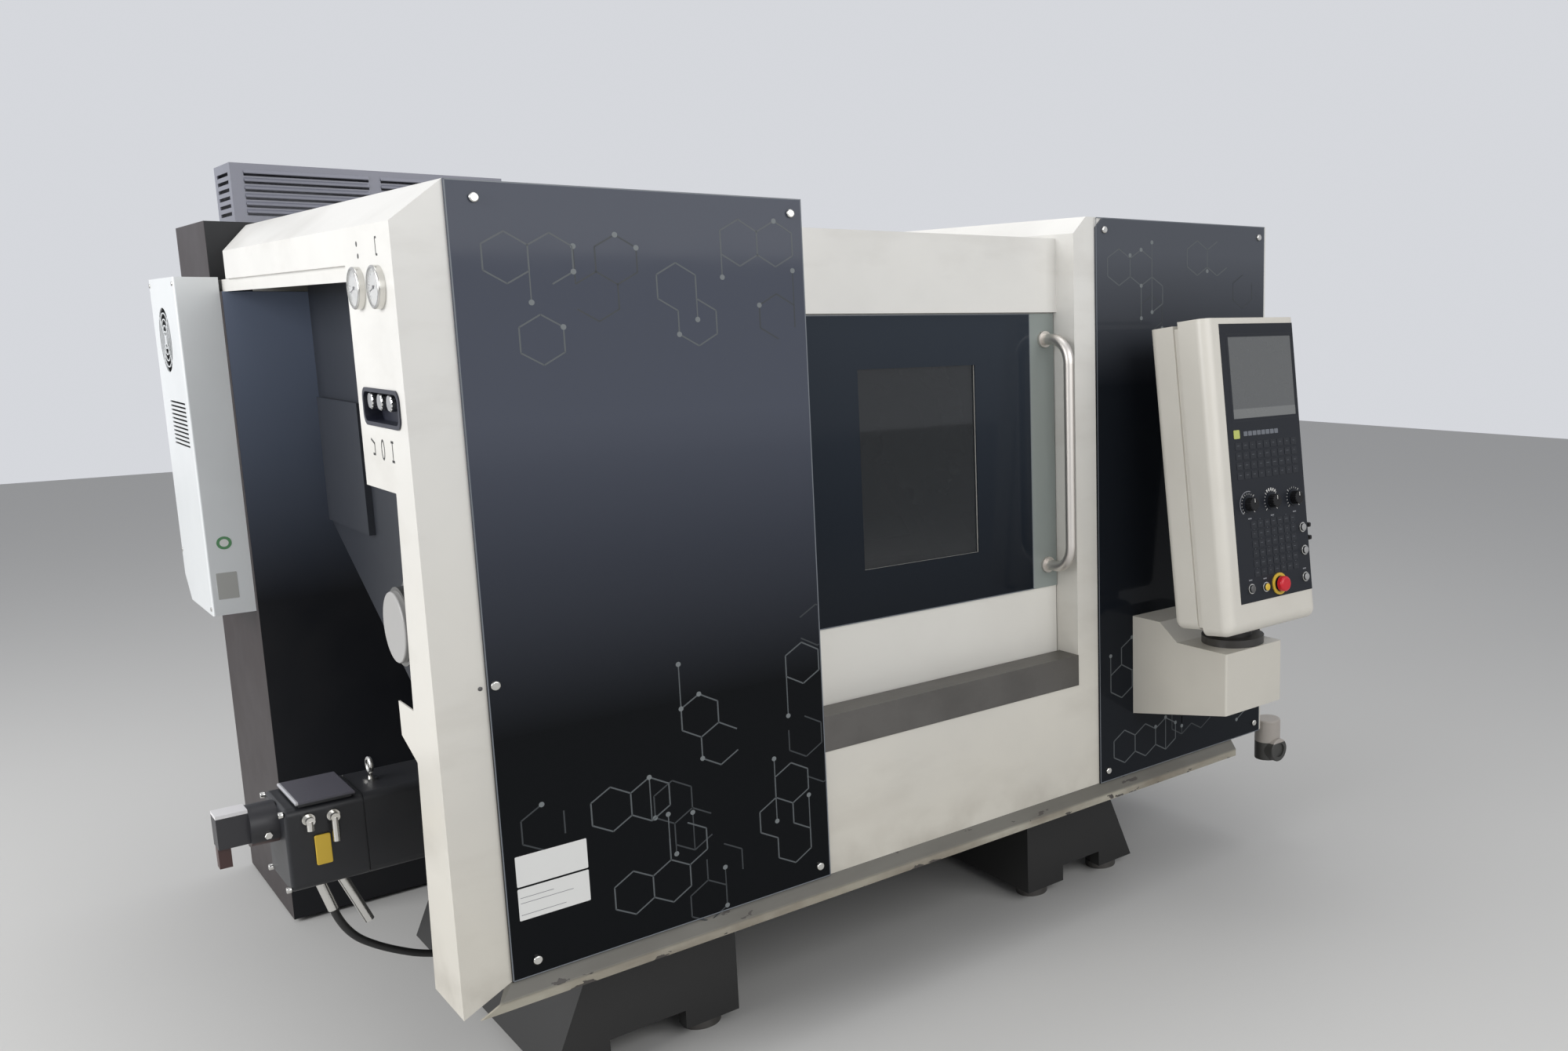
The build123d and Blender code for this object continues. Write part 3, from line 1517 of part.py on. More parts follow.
nodes = {
    "left_front_panel": left_front_panel(),
    "side_column": side_column(),
    "regulator_pocket": regulator_pocket(),
    "pressure_gauges": pressure_gauges(),
    "left_roof": left_roof(),
    "door_header": door_header(),
    "right_front_panel": right_front_panel(),
    "right_cover": right_cover(),
    "rear_cover": rear_cover(),
    "front_ledge": front_ledge(),
    "door_sill": door_sill(),
    "left_black_panel": left_black_panel(),
    "right_black_panel": right_black_panel(),
    "panel_caps": panel_caps(),
    "door_panel": door_panel(),
    "door_glass": door_glass(),
    "door_window": door_window(),
    "door_handle": door_handle(),
    "door_track": door_track(),
    "bed_casting": bed_casting() + hose_gland(),
    "levelling_feet": levelling_feet(),
    "headstock": headstock(),
    "spindle": spindle(),
    "spindle_pulley": grooved_pulley(spindle_pulley_radius, spindle_radius + running_gap, axis_y, axis_z),
    "motor_pulley": grooved_pulley(motor_pulley_radius, motor_shaft + running_gap, motor_y, motor_z),
    "drive_belts": drive_belts(),
    "chuck_body": chuck_body(),
    "chuck_jaw_1": chuck_jaw(0),
    "chuck_jaw_2": chuck_jaw(120),
    "chuck_jaw_3": chuck_jaw(240),
    "hydraulic_cylinder": hydraulic_cylinder(),
    "spindle_motor": spindle_motor(),
    "motor_encoder": motor_encoder(),
    "motor_fittings": motor_fittings(),
    "motor_hose": motor_hose(),
    "saddle": saddle(),
    "turret_slide": turret_slide(),
    "turret_disc": turret_disc(),
    "tailstock": tailstock(),
    "tailstock_quill": tailstock_quill(),
    "live_centre": live_centre(),
    "work_area_liner": work_area_liner(),
    "chip_pan": chip_pan(),
    "belt_guard": belt_guard(),
    "pendant_arm": pendant_arm(),
    "pendant_housing": pendant_housing(),
    "control_panel": control_panel(),
    "estop_button": estop_button(),
    "cabinet_body": cabinet_body(),
    "cabinet_door": cabinet_door(),
    "louvre_box": louvre_box(),
    "cooling_housing": cooling_housing(),
    "cooling_fan": cooling_fan(),
    "coolant_filter": coolant_filter(),
}
for number, place in enumerate(knob_places, start=1):
    nodes[f"regulator_knob_{number}"] = regulator_knob(place)
for number, place in enumerate(dial_places, start=1):
    nodes[f"override_dial_{number}"] = override_dial(place)

shapes = {name: Compound(children=list(piece)) if isinstance(piece, (list, tuple)) else piece
          for name, piece in nodes.items()}
whole = Compound(children=[Pos(0, 0, 0) * shape for shape in shapes.values()])
extent = whole.bounding_box()
origin_shift = Vector(-extent.center().X, -extent.center().Y, -extent.min.Z)
print("origin shift", [round(v, 4) for v in tuple(origin_shift)])
print("size", [round(v, 1) for v in tuple(extent.size)], "nodes", len(shapes))
os.makedirs("parts", exist_ok=True)
for name, shape in shapes.items():
    export_step(Pos(*tuple(origin_shift)) * shape, f"parts/{name}.step")
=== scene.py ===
# %% [markdown]
# # A slant-bed turning centre
#
# The machine's hard parts come from the packed CAD model. This lesson dresses them: painted sheet
# metal, black glass with a printed hexagon pattern, a control pendant, gauges, a spindle motor and a
# hose. Every new piece but the hose is a surface worked out with numpy, in the CAD model's frame.

from math import cos, pi, radians, sin

import bpy
import numpy as np
from mathutils import Euler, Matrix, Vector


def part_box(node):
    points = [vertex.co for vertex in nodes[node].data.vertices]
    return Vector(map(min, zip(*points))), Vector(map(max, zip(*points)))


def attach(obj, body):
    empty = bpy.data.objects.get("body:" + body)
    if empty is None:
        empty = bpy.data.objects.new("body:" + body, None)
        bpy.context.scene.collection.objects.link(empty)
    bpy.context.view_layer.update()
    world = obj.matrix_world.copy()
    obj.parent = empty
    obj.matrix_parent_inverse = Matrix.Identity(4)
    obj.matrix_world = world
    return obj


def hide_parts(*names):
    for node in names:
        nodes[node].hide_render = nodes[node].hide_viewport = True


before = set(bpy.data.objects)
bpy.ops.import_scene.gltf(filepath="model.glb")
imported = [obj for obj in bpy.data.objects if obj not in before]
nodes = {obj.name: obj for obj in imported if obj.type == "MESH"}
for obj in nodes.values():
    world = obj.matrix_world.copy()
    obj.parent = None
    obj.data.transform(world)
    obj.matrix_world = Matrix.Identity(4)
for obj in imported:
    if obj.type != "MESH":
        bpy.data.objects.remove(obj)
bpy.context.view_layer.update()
scene = bpy.context.scene

# %% [markdown]
# ## The drawing's millimetres
#
# The machine was drawn from the left edge of its left glass panel, from its front plane and from the
# floor. Two CAD nodes tell where that corner is in the frame, so that every place below can be
# written in the millimetres of the drawing.

# %% Places in the drawing
MM = 0.001
drawing_corner = np.array([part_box("left_black_panel")[0][0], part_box("left_front_panel")[0][1], 0.0])


def at(x, y, z):
    """A point of the drawing, in millimetres, as metres in the frame."""
    return drawing_corner + np.array([x, y, z]) * MM


def drawn(corner):
    """The way back: a point of the frame as millimetres of the drawing."""
    return (np.array(corner) - drawing_corner) / MM


def level(z):
    """A height of the drawing, in millimetres, as metres in the frame."""
    return float(at(0, 0, z)[2])


print("drawing corner", drawing_corner.round(4))

# %% [markdown]
# ## Camera
#
# The photograph was taken at standing height from the front left corner. The place, the turn and the
# lens were worked out from the long edges of the covers, which meet in two vanishing points. The
# machine's middle is left of the lens's axis, so the sensor is shifted and the view isn't turned.

# %% Camera
YAW, PITCH, ROLL = 43.54, 9.42, -0.38
camera_data = bpy.data.cameras.new("photo_camera")
camera_data.lens = 30.2
camera_data.sensor_width = 36.0
camera_data.shift_x = -0.214
camera_data.shift_y = 0.003
camera_data.clip_end = 60.0
camera = bpy.data.objects.new("photo_camera", camera_data)
camera.location = (-1.7605, -3.3630, 1.6447)
turn = Euler((0, 0, radians(-YAW))).to_matrix() @ Euler((radians(90 - PITCH), 0, 0)).to_matrix()
camera.rotation_euler = (turn @ Euler((0, 0, radians(ROLL))).to_matrix()).to_euler()
scene.collection.objects.link(camera)
scene.camera = camera
print("camera", tuple(round(v, 3) for v in camera.location), "lens", camera_data.lens)

# %% [markdown]
# ## Shader sums
#
# Wear, dirt and brushed metal are sums of a few patterns. Written as nodes they are hard to read, so
# a small class wraps a socket and lets Python's operators add the Math nodes. A second class wraps
# a tree, and its one method makes any other node from its type, its settings and its sockets.

# %% Wires and trees


class Wire:
    """A socket of a tree. A sum, product or comparison of wires adds one Math node."""

    def __init__(self, owner, socket):
        self.owner = owner
        self.socket = socket

    def sum(self, operation, *others):
        values = dict(enumerate([self, *others]))
        return self.owner.node("ShaderNodeMath", {"operation": operation}, values)

    def __add__(self, other):
        return self.sum("ADD", other)

    __radd__ = __add__

    def __mul__(self, other):
        return self.sum("MULTIPLY", other)

    __rmul__ = __mul__

    def __sub__(self, other):
        return self.sum("SUBTRACT", other)

    def __rsub__(self, other):
        return (self * -1.0) + other

    def __gt__(self, other):
        return self.sum("GREATER_THAN", other)

    def __lt__(self, other):
        return self.sum("LESS_THAN", other)

    def clear(self, low, high):
        """0 below low, 1 above high and a straight ramp between them."""
        scaled = (self - low) * (1.0 / (high - low))
        return scaled.sum("MAXIMUM", 0.0).sum("MINIMUM", 1.0)


class Nodes:
    """The tree of a material or of the world."""

    def __init__(self, tree):
        self.tree = tree

    def node(self, kind, settings=None, sockets=None, out=0):
        """A node of that kind, with its settings, its sockets' values or wires, and its out socket."""
        node = self.tree.nodes.new(kind)
        for setting, value in (settings or {}).items():
            setattr(node, setting, value)
        shown = [socket for socket in node.inputs if socket.enabled]
        for key, value in (sockets or {}).items():
            socket = shown[key] if isinstance(key, int) else [s for s in shown if s.name == key][0]
            if isinstance(value, Wire):
                self.tree.links.new(value.socket, socket)
            else:
                socket.default_value = value
        outs = [socket for socket in node.outputs if socket.enabled]
        socket = outs[out] if isinstance(out, int) else [s for s in outs if s.name == out][0]
        return Wire(self, socket)


print("wire methods", len(vars(Wire)), "tree methods", len(vars(Nodes)))

# %% [markdown]
# A finish is one material: a Principled shader with plain values, and patterns wired into the sockets
# that should vary. The patterns read Object coordinates, so that they keep their size in metres and
# stay on their piece when it moves.

# %% A finish


class Finish(Nodes):
    """One material: a tree with a Principled shader whose plain sockets are set by name."""

    def __init__(self, name, colour, **plain):
        self.material = bpy.data.materials.new(name)
        self.material.use_nodes = True
        super().__init__(self.material.node_tree)
        self.shader = self.tree.nodes["Principled BSDF"]
        self.shader.inputs["Base Color"].default_value = (*colour, 1.0)
        self.material.diffuse_color = (*colour, 1.0)
        for socket, value in plain.items():
            label = socket.replace("_", " ").title().replace("Ior", "IOR")
            self.shader.inputs[label].default_value = value

    def place(self):
        """Object coordinates, in metres of the frame."""
        return self.node("ShaderNodeTexCoord", out="Object")

    def axis(self, name):
        """One coordinate of the place: X, Y or Z."""
        return self.node("ShaderNodeSeparateXYZ", None, {"Vector": self.place()}, out=name)

    def noise(self, scale, detail=3.0, stretch=(1.0, 1.0, 1.0), roughness=0.55):
        """Cloudy values between 0 and 1 that repeat about scale times a metre."""
        where = self.node("ShaderNodeMapping", None, {"Vector": self.place(), "Scale": stretch})
        settings = {"Vector": where, "Scale": scale, "Detail": detail, "Roughness": roughness}
        return self.node("ShaderNodeTexNoise", None, settings)

    def blend(self, amount, first, second):
        """A colour between the first and the second."""
        colours = [c if isinstance(c, Wire) else (*c, 1.0) for c in (first, second)]
        sockets = {"Factor": amount, "A": colours[0], "B": colours[1]}
        return self.node("ShaderNodeMix", {"data_type": "RGBA"}, sockets)

    def wear(self, **wires):
        """Feeds sockets of the shader, such as base_color or roughness."""
        for socket, wire in wires.items():
            self.tree.links.new(wire.socket, self.shader.inputs[socket.replace("_", " ").title()])
        return self

    def grain(self, height, strength, distance):
        """A bump of that height map."""
        bump = {"Height": height, "Strength": strength, "Distance": distance}
        return self.wear(normal=self.node("ShaderNodeBump", None, bump))


print("finish methods", [name for name in vars(Finish) if not name.startswith("__")])

# %% [markdown]
# ## Enamel
#
# The covers are folded sheet steel with a warm white enamel. Real enamel isn't one flat colour: it
# has a slight cloudiness, smudges and a fine orange peel, and dust settles near the floor. Each of
# these is a noise at a scale of its own.

# %% Enamel finishes
WHITE = (0.725, 0.712, 0.675)
LOWER_TONE = (0.600, 0.572, 0.505)
DUST = (0.300, 0.265, 0.215)
BLACK = (0.0, 0.0, 0.0)
DUST_TOP = level(470)
DUST_BAND = 0.12


def enamel(name, colour, rough=0.34, lower_tone=None, dust_top=0.0):
    """Cloudy satin enamel: its colour high up, a darker and warmer lower tone near the floor, dust under
    a height.
    """
    finish = Finish(name, colour, roughness=rough, coat_weight=0.15, coat_roughness=0.2)
    cloud = finish.noise(2.2, 4.0)
    tone = colour
    if lower_tone:
        # Between 1.75 m and 0.65 m the enamel turns darker and warmer towards the floor, ragged by the
        # cloud.
        high = (finish.axis("Z") + cloud * 0.5).clear(0.65, 1.75)
        tone = finish.blend(high, lower_tone, colour)
        smudge = finish.noise(3.4, 6.0, (1.0, 1.0, 2.4)).clear(0.52, 0.74) * 0.16
        tone = finish.blend(smudge, tone, DUST)
    tone = finish.blend(cloud.clear(0.42, 0.72) * 0.10, tone, BLACK)
    if dust_top:
        low = 1.0 - finish.axis("Z").clear(dust_top - DUST_BAND, dust_top)
        dirt = (low * finish.noise(9.0, 5.0).clear(0.40, 0.75)) * 0.55
        tone = finish.blend(dirt, tone, DUST)
    finish.wear(base_color=tone, roughness=cloud * 0.14 + (rough - 0.07))
    return finish.grain(finish.noise(420.0, 2.0), 0.05, 0.0004)


cover_enamel = enamel("cover_enamel", WHITE, lower_tone=LOWER_TONE, dust_top=DUST_TOP)
cooler_enamel = enamel("cooler_enamel", (0.70, 0.72, 0.725))
arm_enamel = enamel("arm_enamel", (0.56, 0.535, 0.475))
cabinet_enamel = enamel("cabinet_enamel", (0.024, 0.027, 0.034), rough=0.4)
louvre_enamel = enamel("louvre_enamel", (0.165, 0.170, 0.210), rough=0.35)
liner_enamel = enamel("liner_enamel", (0.30, 0.31, 0.32), rough=0.45)
casting_enamel = enamel("casting_enamel", (0.009, 0.0088, 0.0085), rough=0.55)
slide_enamel = enamel("slide_enamel", (0.17, 0.18, 0.18), rough=0.5)
print("enamels", len(bpy.data.materials))

# %% [markdown]
# The front ledge is where hands, chips and coolant go, so it has the strongest wear: grey grime on its
# slope, a soiled lip, and steel where the enamel is chipped. A threshold on a fine noise gives hard
# chip edges, and a second mask adds chips near the lip's edge, where real knocks land.

# %% Soiled ledge
LIP_TOP = level(333), level(340)
LIP_EDGE = level(321), level(330)
CHIPPED = 0.655


def ledge_enamel():
    """Grime above the lip, soiled enamel on it, and steel where noise plus edge pass the threshold."""
    finish = Finish("ledge_enamel", WHITE, roughness=0.45)
    height = finish.axis("Z")
    smear = finish.noise(5.0, 6.0, (1.0, 3.0, 3.0)).clear(0.36, 0.66)
    soil = finish.noise(2.6, 5.0).clear(0.40, 0.66)
    soil = finish.blend(soil, (0.27, 0.245, 0.19), (0.46, 0.44, 0.37))
    lip = finish.blend(smear * 0.7, soil, (0.135, 0.108, 0.080))
    tone = finish.blend(height.clear(*LIP_TOP) * 0.9, lip, (0.104, 0.100, 0.087))
    edge = 1.0 - height.clear(*LIP_EDGE)
    chip = finish.noise(16.0, 5.0, (1.0, 2.0, 2.0)) + edge * 0.08 > CHIPPED
    tone = finish.blend(chip, tone, (0.055, 0.048, 0.042))
    finish.wear(base_color=tone, roughness=smear * 0.25 + 0.35)
    return finish.grain(chip * -1.0, 0.3, 0.0005)


ledge_finish = ledge_enamel()
print("ledge lip from", round(LIP_EDGE[0], 3), "to", round(LIP_TOP[1], 3), "m")

# %% [markdown]
# Some parts carry two or three finishes on one piece: the door has a grey-green stile beside its
# glass, the cabinet's left side is a bare brown-grey, the end disc of the hydraulic cylinder is white,
# and the motor's terminal box has a lighter lid with a pale strip along its left edge. Planes in
# Object coordinates part them, because those move with the piece.

# %% Parted finishes
RISE = 0.9, 1.8


def parted(name, first, others, rough, dust=0.10, high=None, **plain):
    """Each other colour covers the first inside its limits, (axis, side, millimetre) of the drawing.

    A high colour takes the first one's place between the two heights of RISE; on the cabinet it is a
    painted reflection.
    """
    finish = Finish(name, first, roughness=rough, **plain)
    tone = finish.blend(finish.axis("Z").clear(*RISE), first, high) if high else first
    for colour, *limits in others:
        inside = None
        for axis, side, value in limits:
            edge = float(at(value, value, value)["XYZ".index(axis)])
            test = finish.axis(axis) > edge if side == "above" else finish.axis(axis) < edge
            inside = test if inside is None else inside * test
        tone = finish.blend(inside, tone, colour)
    cloud = finish.noise(3.0, 4.0).clear(0.40, 0.75)
    tone = finish.blend(cloud * dust, tone, DUST)
    finish.wear(base_color=tone, roughness=cloud * 0.12 + rough)
    return finish, inside


STILE = [("X", "above", 1404), ("Y", "below", 84.2), ("Z", "above", 922), ("Z", "below", 1642)]
door_finish, _ = parted("door_enamel", (0.70, 0.683, 0.635), [((0.242, 0.272, 0.258), *STILE)], 0.32)
POST = [((0.016, 0.016, 0.017), ("Z", "below", 808))]
pendant_finish, _ = parted("pendant_enamel", (0.63, 0.605, 0.545), POST, 0.34, dust=0.16)
# The cabinet's high colour is a painted reflection: its black front turns blue-grey higher up, as if it
# mirrored the bright surroundings.
cabinet_finish, _ = parted(
    "cabinet_sides",
    (0.007, 0.008, 0.011),
    [
        ((0.008, 0.009, 0.011), ("Y", "above", 1483.5)),
        ((0.025, 0.0185, 0.0195), ("X", "below", -91.5)),
    ],
    0.42,
    dust=0.02,
    high=(0.165, 0.200, 0.280),
    specular_ior_level=0.3,
)
DISC = [((0.375, 0.37, 0.36), ("X", "below", -34))]
cylinder_finish, on_disc = parted("cylinder_steel", (0.30, 0.30, 0.29), DISC, 0.34)
cylinder_finish.wear(metallic=1.0 - on_disc)
HEAD = [((0.36, 0.33, 0.30), ("Z", "above", 318))]
strainer_finish, _ = parted("strainer_finish", (0.040, 0.040, 0.038), HEAD, 0.42)
encoder_finish, _ = parted(
    "encoder_finish",
    (0.022, 0.022, 0.026),
    [
        ((0.66, 0.65, 0.66), ("X", "below", -312), ("Z", "above", 643)),
        ((0.050, 0.022, 0.020), ("Z", "below", 578)),
    ],
    0.42,
    dust=0.03,
)
LID_LOW, LID_LEFT, PALE_EDGE_WIDTH = 656.5, -239.0, 5
motor_finish, _ = parted(
    "motor_enamel",
    (0.010, 0.011, 0.014),
    [
        ((0.070, 0.068, 0.084), ("Z", "above", LID_LOW)),
        # The lid is lighter than the motor, with a pale strip along its left edge.
        ((0.40, 0.40, 0.42), ("Z", "above", LID_LOW), ("X", "below", LID_LEFT + PALE_EDGE_WIDTH)),
    ],
    0.40,
    dust=0.03,
)
print("materials so far", len(bpy.data.materials))

# %% [markdown]
# ## Metals, glass and plastics
#
# Machined and brushed parts scatter light along their grain. A noise stretched along one axis gives
# the streaks for the sill and the handle, and broad clouds give the stains of coolant.

# %% Metals


def metal(name, colour, rough, stretch=(1.0, 1.0, 1.0), scale=60.0, stain=0.0):
    """Bare metal whose roughness and bump follow streaks; stain darkens it in broad clouds."""
    finish = Finish(name, colour, metallic=1.0, roughness=rough)
    streak = finish.noise(scale, 3.0, stretch)
    finish.wear(roughness=streak * 0.16 + (rough - 0.08))
    if stain:
        cloud = finish.noise(6.0, 5.0).clear(0.42, 0.70)
        dark = tuple(v * 0.45 for v in colour)
        finish.wear(base_color=finish.blend(cloud * stain, colour, dark))
    return finish.grain(streak, 0.06, 0.0003)


sill_steel = metal("sill_steel", (0.165, 0.158, 0.150), 0.40, (0.4, 12.0, 12.0), 40.0, 0.35)
handle_metal = metal("handle_metal", (0.70, 0.665, 0.625), 0.42, (10.0, 10.0, 0.5), 60.0)
machined_steel = metal("machined_steel", (0.46, 0.455, 0.44), 0.30, (1.0, 8.0, 8.0), 50.0, 0.25)
ground_steel = metal("ground_steel", (0.60, 0.595, 0.58), 0.20, (6.0, 1.0, 1.0), 60.0)
bright_nickel = metal("bright_nickel", (0.66, 0.65, 0.62), 0.22, scale=90.0, stain=0.2)
knob_metal = metal("knob_metal", (0.62, 0.62, 0.61), 0.28, scale=80.0)
print("metals", sum(m.name.endswith(("steel", "metal", "nickel")) for m in bpy.data.materials))

# %% [markdown]
# The black panels are glass painted on the back: opaque, smooth and almost black near the floor.
# Higher up they turn greyer, which is a painted reflection. Only the window of the door and the
# lenses of the gauges let light pass.

# %% Glass


def painted_glass(name, low, high, rise):
    """Glass painted on its back: its low colour turns into the high one, a painted reflection, between
    rise's two heights.
    """
    finish = Finish(name, low, roughness=0.07, specular_ior_level=0.12)
    tone = finish.blend(finish.axis("Z").clear(*rise), low, high)
    return finish.wear(base_color=tone, roughness=finish.noise(9.0, 3.0) * 0.06 + 0.04)


def clear_glass(name, colour, rough, through, ior):
    """Glass that shows what is behind it: through is the share of light that it lets pass."""
    return Finish(name, colour, roughness=rough, transmission_weight=through, ior=ior)


# The high colour of each pane is a painted reflection, greyer and bluer higher up.
black_glass = painted_glass("black_glass", (0.002, 0.0028, 0.004), (0.074, 0.082, 0.106), (0.85, 1.45))
door_black = painted_glass("door_black", (0.0060, 0.0080, 0.0115), (0.028, 0.035, 0.046), (0.85, 1.60))
right_black = painted_glass("right_black", (0.0085, 0.0105, 0.014), (0.085, 0.092, 0.108), (1.45, 1.80))
window_glass = clear_glass("window_glass", (0.17, 0.185, 0.20), 0.03, 0.9, 1.45)
gauge_glass = clear_glass("gauge_glass", (0.95, 0.95, 0.95), 0.02, 1.0, 1.2)
print("glasses", sum("glass" in m.name for m in bpy.data.materials))

# %% [markdown]
# Keys, prints, labels and knobs are moulded or printed, so one recipe serves them all: a flat colour
# whose gloss varies a little. The control panel's blacks reflect less, as a matt foil does.

# %% Plastics and prints
FOIL = 0.28


def plain(name, colour, rough=0.45, **more):
    """A moulded or printed surface with a slight unevenness in its gloss."""
    finish = Finish(name, colour, roughness=rough, **more)
    return finish.wear(roughness=finish.noise(14.0, 3.0) * 0.12 + (rough - 0.05))


screen_glass = plain("screen_glass", (0.105, 0.109, 0.110), 0.26)
screen_band = plain("screen_band", (0.165, 0.170, 0.168), 0.26)
panel_plastic = plain("panel_plastic", (0.011, 0.013, 0.018), 0.42, specular_ior_level=FOIL)
fan_plastic = plain("fan_plastic", (0.42, 0.43, 0.44))
knob_plastic = plain("knob_plastic", (0.007, 0.007, 0.008), 0.42, specular_ior_level=FOIL)
pocket_plastic = plain("pocket_plastic", (0.016, 0.018, 0.030), 0.40)
pattern_ink = plain("pattern_ink", (0.078, 0.088, 0.094))
pattern_faint = plain("pattern_faint", (0.024, 0.029, 0.033))
dot_ink = plain("dot_ink", (0.150, 0.165, 0.170))
white_print = plain("white_print", (0.62, 0.61, 0.58))
grey_print = plain("grey_print", (0.20, 0.205, 0.22))
faint_print = plain("faint_print", (0.085, 0.092, 0.105))
cap_grey = plain("cap_grey", (0.30, 0.30, 0.30), 0.38)
cap_dark = plain("cap_dark", (0.085, 0.083, 0.083), 0.38)
dark_print = plain("dark_print", (0.035, 0.035, 0.035), 0.5)
key_plastic = plain("key_plastic", (0.018, 0.020, 0.025), 0.40, specular_ior_level=FOIL)
label_white = plain("label_white", (0.70, 0.70, 0.68), 0.38)
yellow_plastic = plain("yellow_plastic", (0.62, 0.42, 0.04), 0.42)
lime_plastic = plain("lime_plastic", (0.46, 0.50, 0.13), 0.40)
red_plastic = plain("red_plastic", (0.55, 0.010, 0.022), 0.30)
green_print = plain("green_print", (0.10, 0.27, 0.12))
black_rubber = plain("black_rubber", (0.012, 0.012, 0.012), 0.55)
print("materials", len(bpy.data.materials))

# %% [markdown]
# ## Finishes of the CAD pieces
#
# Each CAD node has one material slot. A table from the finish to the nodes that have it is shorter
# than one line for each node, and it shows at a glance what the machine is made of.

# %% Dress the CAD pieces
DRESS = (
    (cover_enamel, "left_front_panel side_column left_roof door_header right_front_panel right_cover"),
    (cover_enamel, "rear_cover"),
    (cooler_enamel, "cooling_housing"),
    (pendant_finish, "pendant_housing"),
    (arm_enamel, "pendant_arm"),
    (door_finish, "door_panel"),
    (ledge_finish, "front_ledge"),
    (cabinet_finish, "cabinet_body cabinet_door"),
    (cabinet_enamel, "belt_guard"),
    (louvre_enamel, "louvre_box"),
    (liner_enamel, "work_area_liner chip_pan"),
    (motor_finish, "spindle_motor"),
    (encoder_finish, "motor_encoder"),
    (casting_enamel, "bed_casting headstock"),
    (slide_enamel, "saddle turret_slide tailstock"),
    (black_glass, "left_black_panel"),
    (right_black, "right_black_panel"),
    (door_black, "door_glass"),
    (window_glass, "door_window"),
    (sill_steel, "door_sill door_track levelling_feet"),
    (handle_metal, "door_handle"),
    (machined_steel, "spindle spindle_pulley motor_pulley chuck_body turret_disc"),
    (ground_steel, "chuck_jaw_1 chuck_jaw_2 chuck_jaw_3 tailstock_quill live_centre"),
    (cylinder_finish, "hydraulic_cylinder"),
    (bright_nickel, "panel_caps motor_fittings pressure_gauges"),
    (knob_metal, "regulator_knob_1 regulator_knob_2 regulator_knob_3"),
    (pocket_plastic, "regulator_pocket"),
    (panel_plastic, "control_panel"),
    (knob_plastic, "override_dial_1 override_dial_2 override_dial_3"),
    (fan_plastic, "cooling_fan"),
    (red_plastic, "estop_button"),
    (strainer_finish, "coolant_filter"),
    (black_rubber, "drive_belts motor_hose"),
)
dressed = set()
for finish, names in DRESS:
    for name in names.split():
        nodes[name].data.materials.clear()
        nodes[name].data.materials.append(finish.material)
        dressed.add(name)
print("dressed", len(dressed), "left over", sorted(set(nodes) - dressed))

# %% [markdown]
# ## Faces
#
# The small pieces lie on flat places. Such a face is a corner and three directions, so that a piece
# is written in millimetres across, up and out. Most faces are one side of a CAD node, read off its
# box, so that they follow the model when its sizes change. A side is an end of the box, low or high,
# along one axis, and the direction that runs across it.

# %% Faces


class Face:
    """A flat place for pieces: its corner, and the directions across it, up it and out of it."""

    def __init__(self, corner, across, up):
        self.corner = np.asarray(corner, float)
        self.axes = np.array([across, up, np.cross(across, up)], float)

    def points(self, local):
        """The corner, plus each local millimetre times its direction."""
        return self.corner + (np.asarray(local, float) * MM) @ self.axes

    def lifted(self, out):
        """The same face, that many millimetres further out."""
        return Face(self.points((0, 0, out)), *self.axes[:2])


SIDES = {
    "front": (0, 1, (1, 0, 0)),
    "back": (1, 1, (-1, 0, 0)),
    "left": (0, 0, (0, -1, 0)),
    "right": (1, 0, (0, 1, 0)),
}


def side_of(name, side):
    """One side of a node's box. Its corner is the drawing's corner, moved into the side's plane."""
    end, axis, across = SIDES[side]
    corner = drawing_corner.copy()
    corner[axis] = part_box(name)[end][axis]
    return Face(corner, across, (0, 0, 1))


def drawn_box(name, inset):
    """A node's box in the drawing's millimetres, drawn in by the inset: x0, z0, x1, z1."""
    low, high = [drawn(corner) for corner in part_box(name)]
    return low[0] + inset, low[2] + inset, high[0] - inset, high[2] - inset


front_glass = side_of("left_black_panel", "front")
strip_face = side_of("side_column", "left")
print("glass face", front_glass.corner.round(4), "side strip", strip_face.corner.round(4))

# %% [markdown]
# ## One builder for all small pieces
#
# Keys, labels, studs, needles and print lines are all stacks of closed rings: the same outline at
# several heights over a face. One function joins the rings to a closed skin. A body says what a
# piece rides on, and four pairs of a body and a slot serve nearly all pieces.

# %% Stacks of rings
SHARP = radians(35)
ON_COVERS = ("machine", "cover_paint")
COVER_METAL = ("machine", "bright_metal")
ON_PENDANT = ("pendant", "black_plastic")
PENDANT_METAL = ("pendant", "bright_metal")


def stacked(name, face, rings, finish, body, looped=False):
    """Closed skins from rings[item, ring, point]: quads from each ring to the next, lids at the ends.

    A looped one has no lids: its last ring joins its first, round a hole.
    """
    items, levels, around = rings.shape[:3]
    index = np.arange(items * levels * around).reshape(items, levels, around)
    low, high = (index, np.roll(index, -1, 1)) if looped else (index[:, :-1], index[:, 1:])
    quads = np.stack([low, np.roll(low, -1, 2), np.roll(high, -1, 2), high], -1).reshape(-1, 4)
    lids = [] if looped else np.concatenate([index[:, 0, ::-1], index[:, -1]]).tolist()
    mesh = bpy.data.meshes.new(name)
    mesh.from_pydata(face.points(rings).reshape(-1, 3), [], quads.tolist() + lids)
    mesh.polygons.foreach_set("use_smooth", np.ones(len(mesh.polygons), bool))
    mesh.set_sharp_from_angle(angle=SHARP)
    mesh.materials.append(finish.material)
    mesh.update()
    piece = bpy.data.objects.new(name, mesh)
    scene.collection.objects.link(piece)
    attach(piece, body)
    return piece


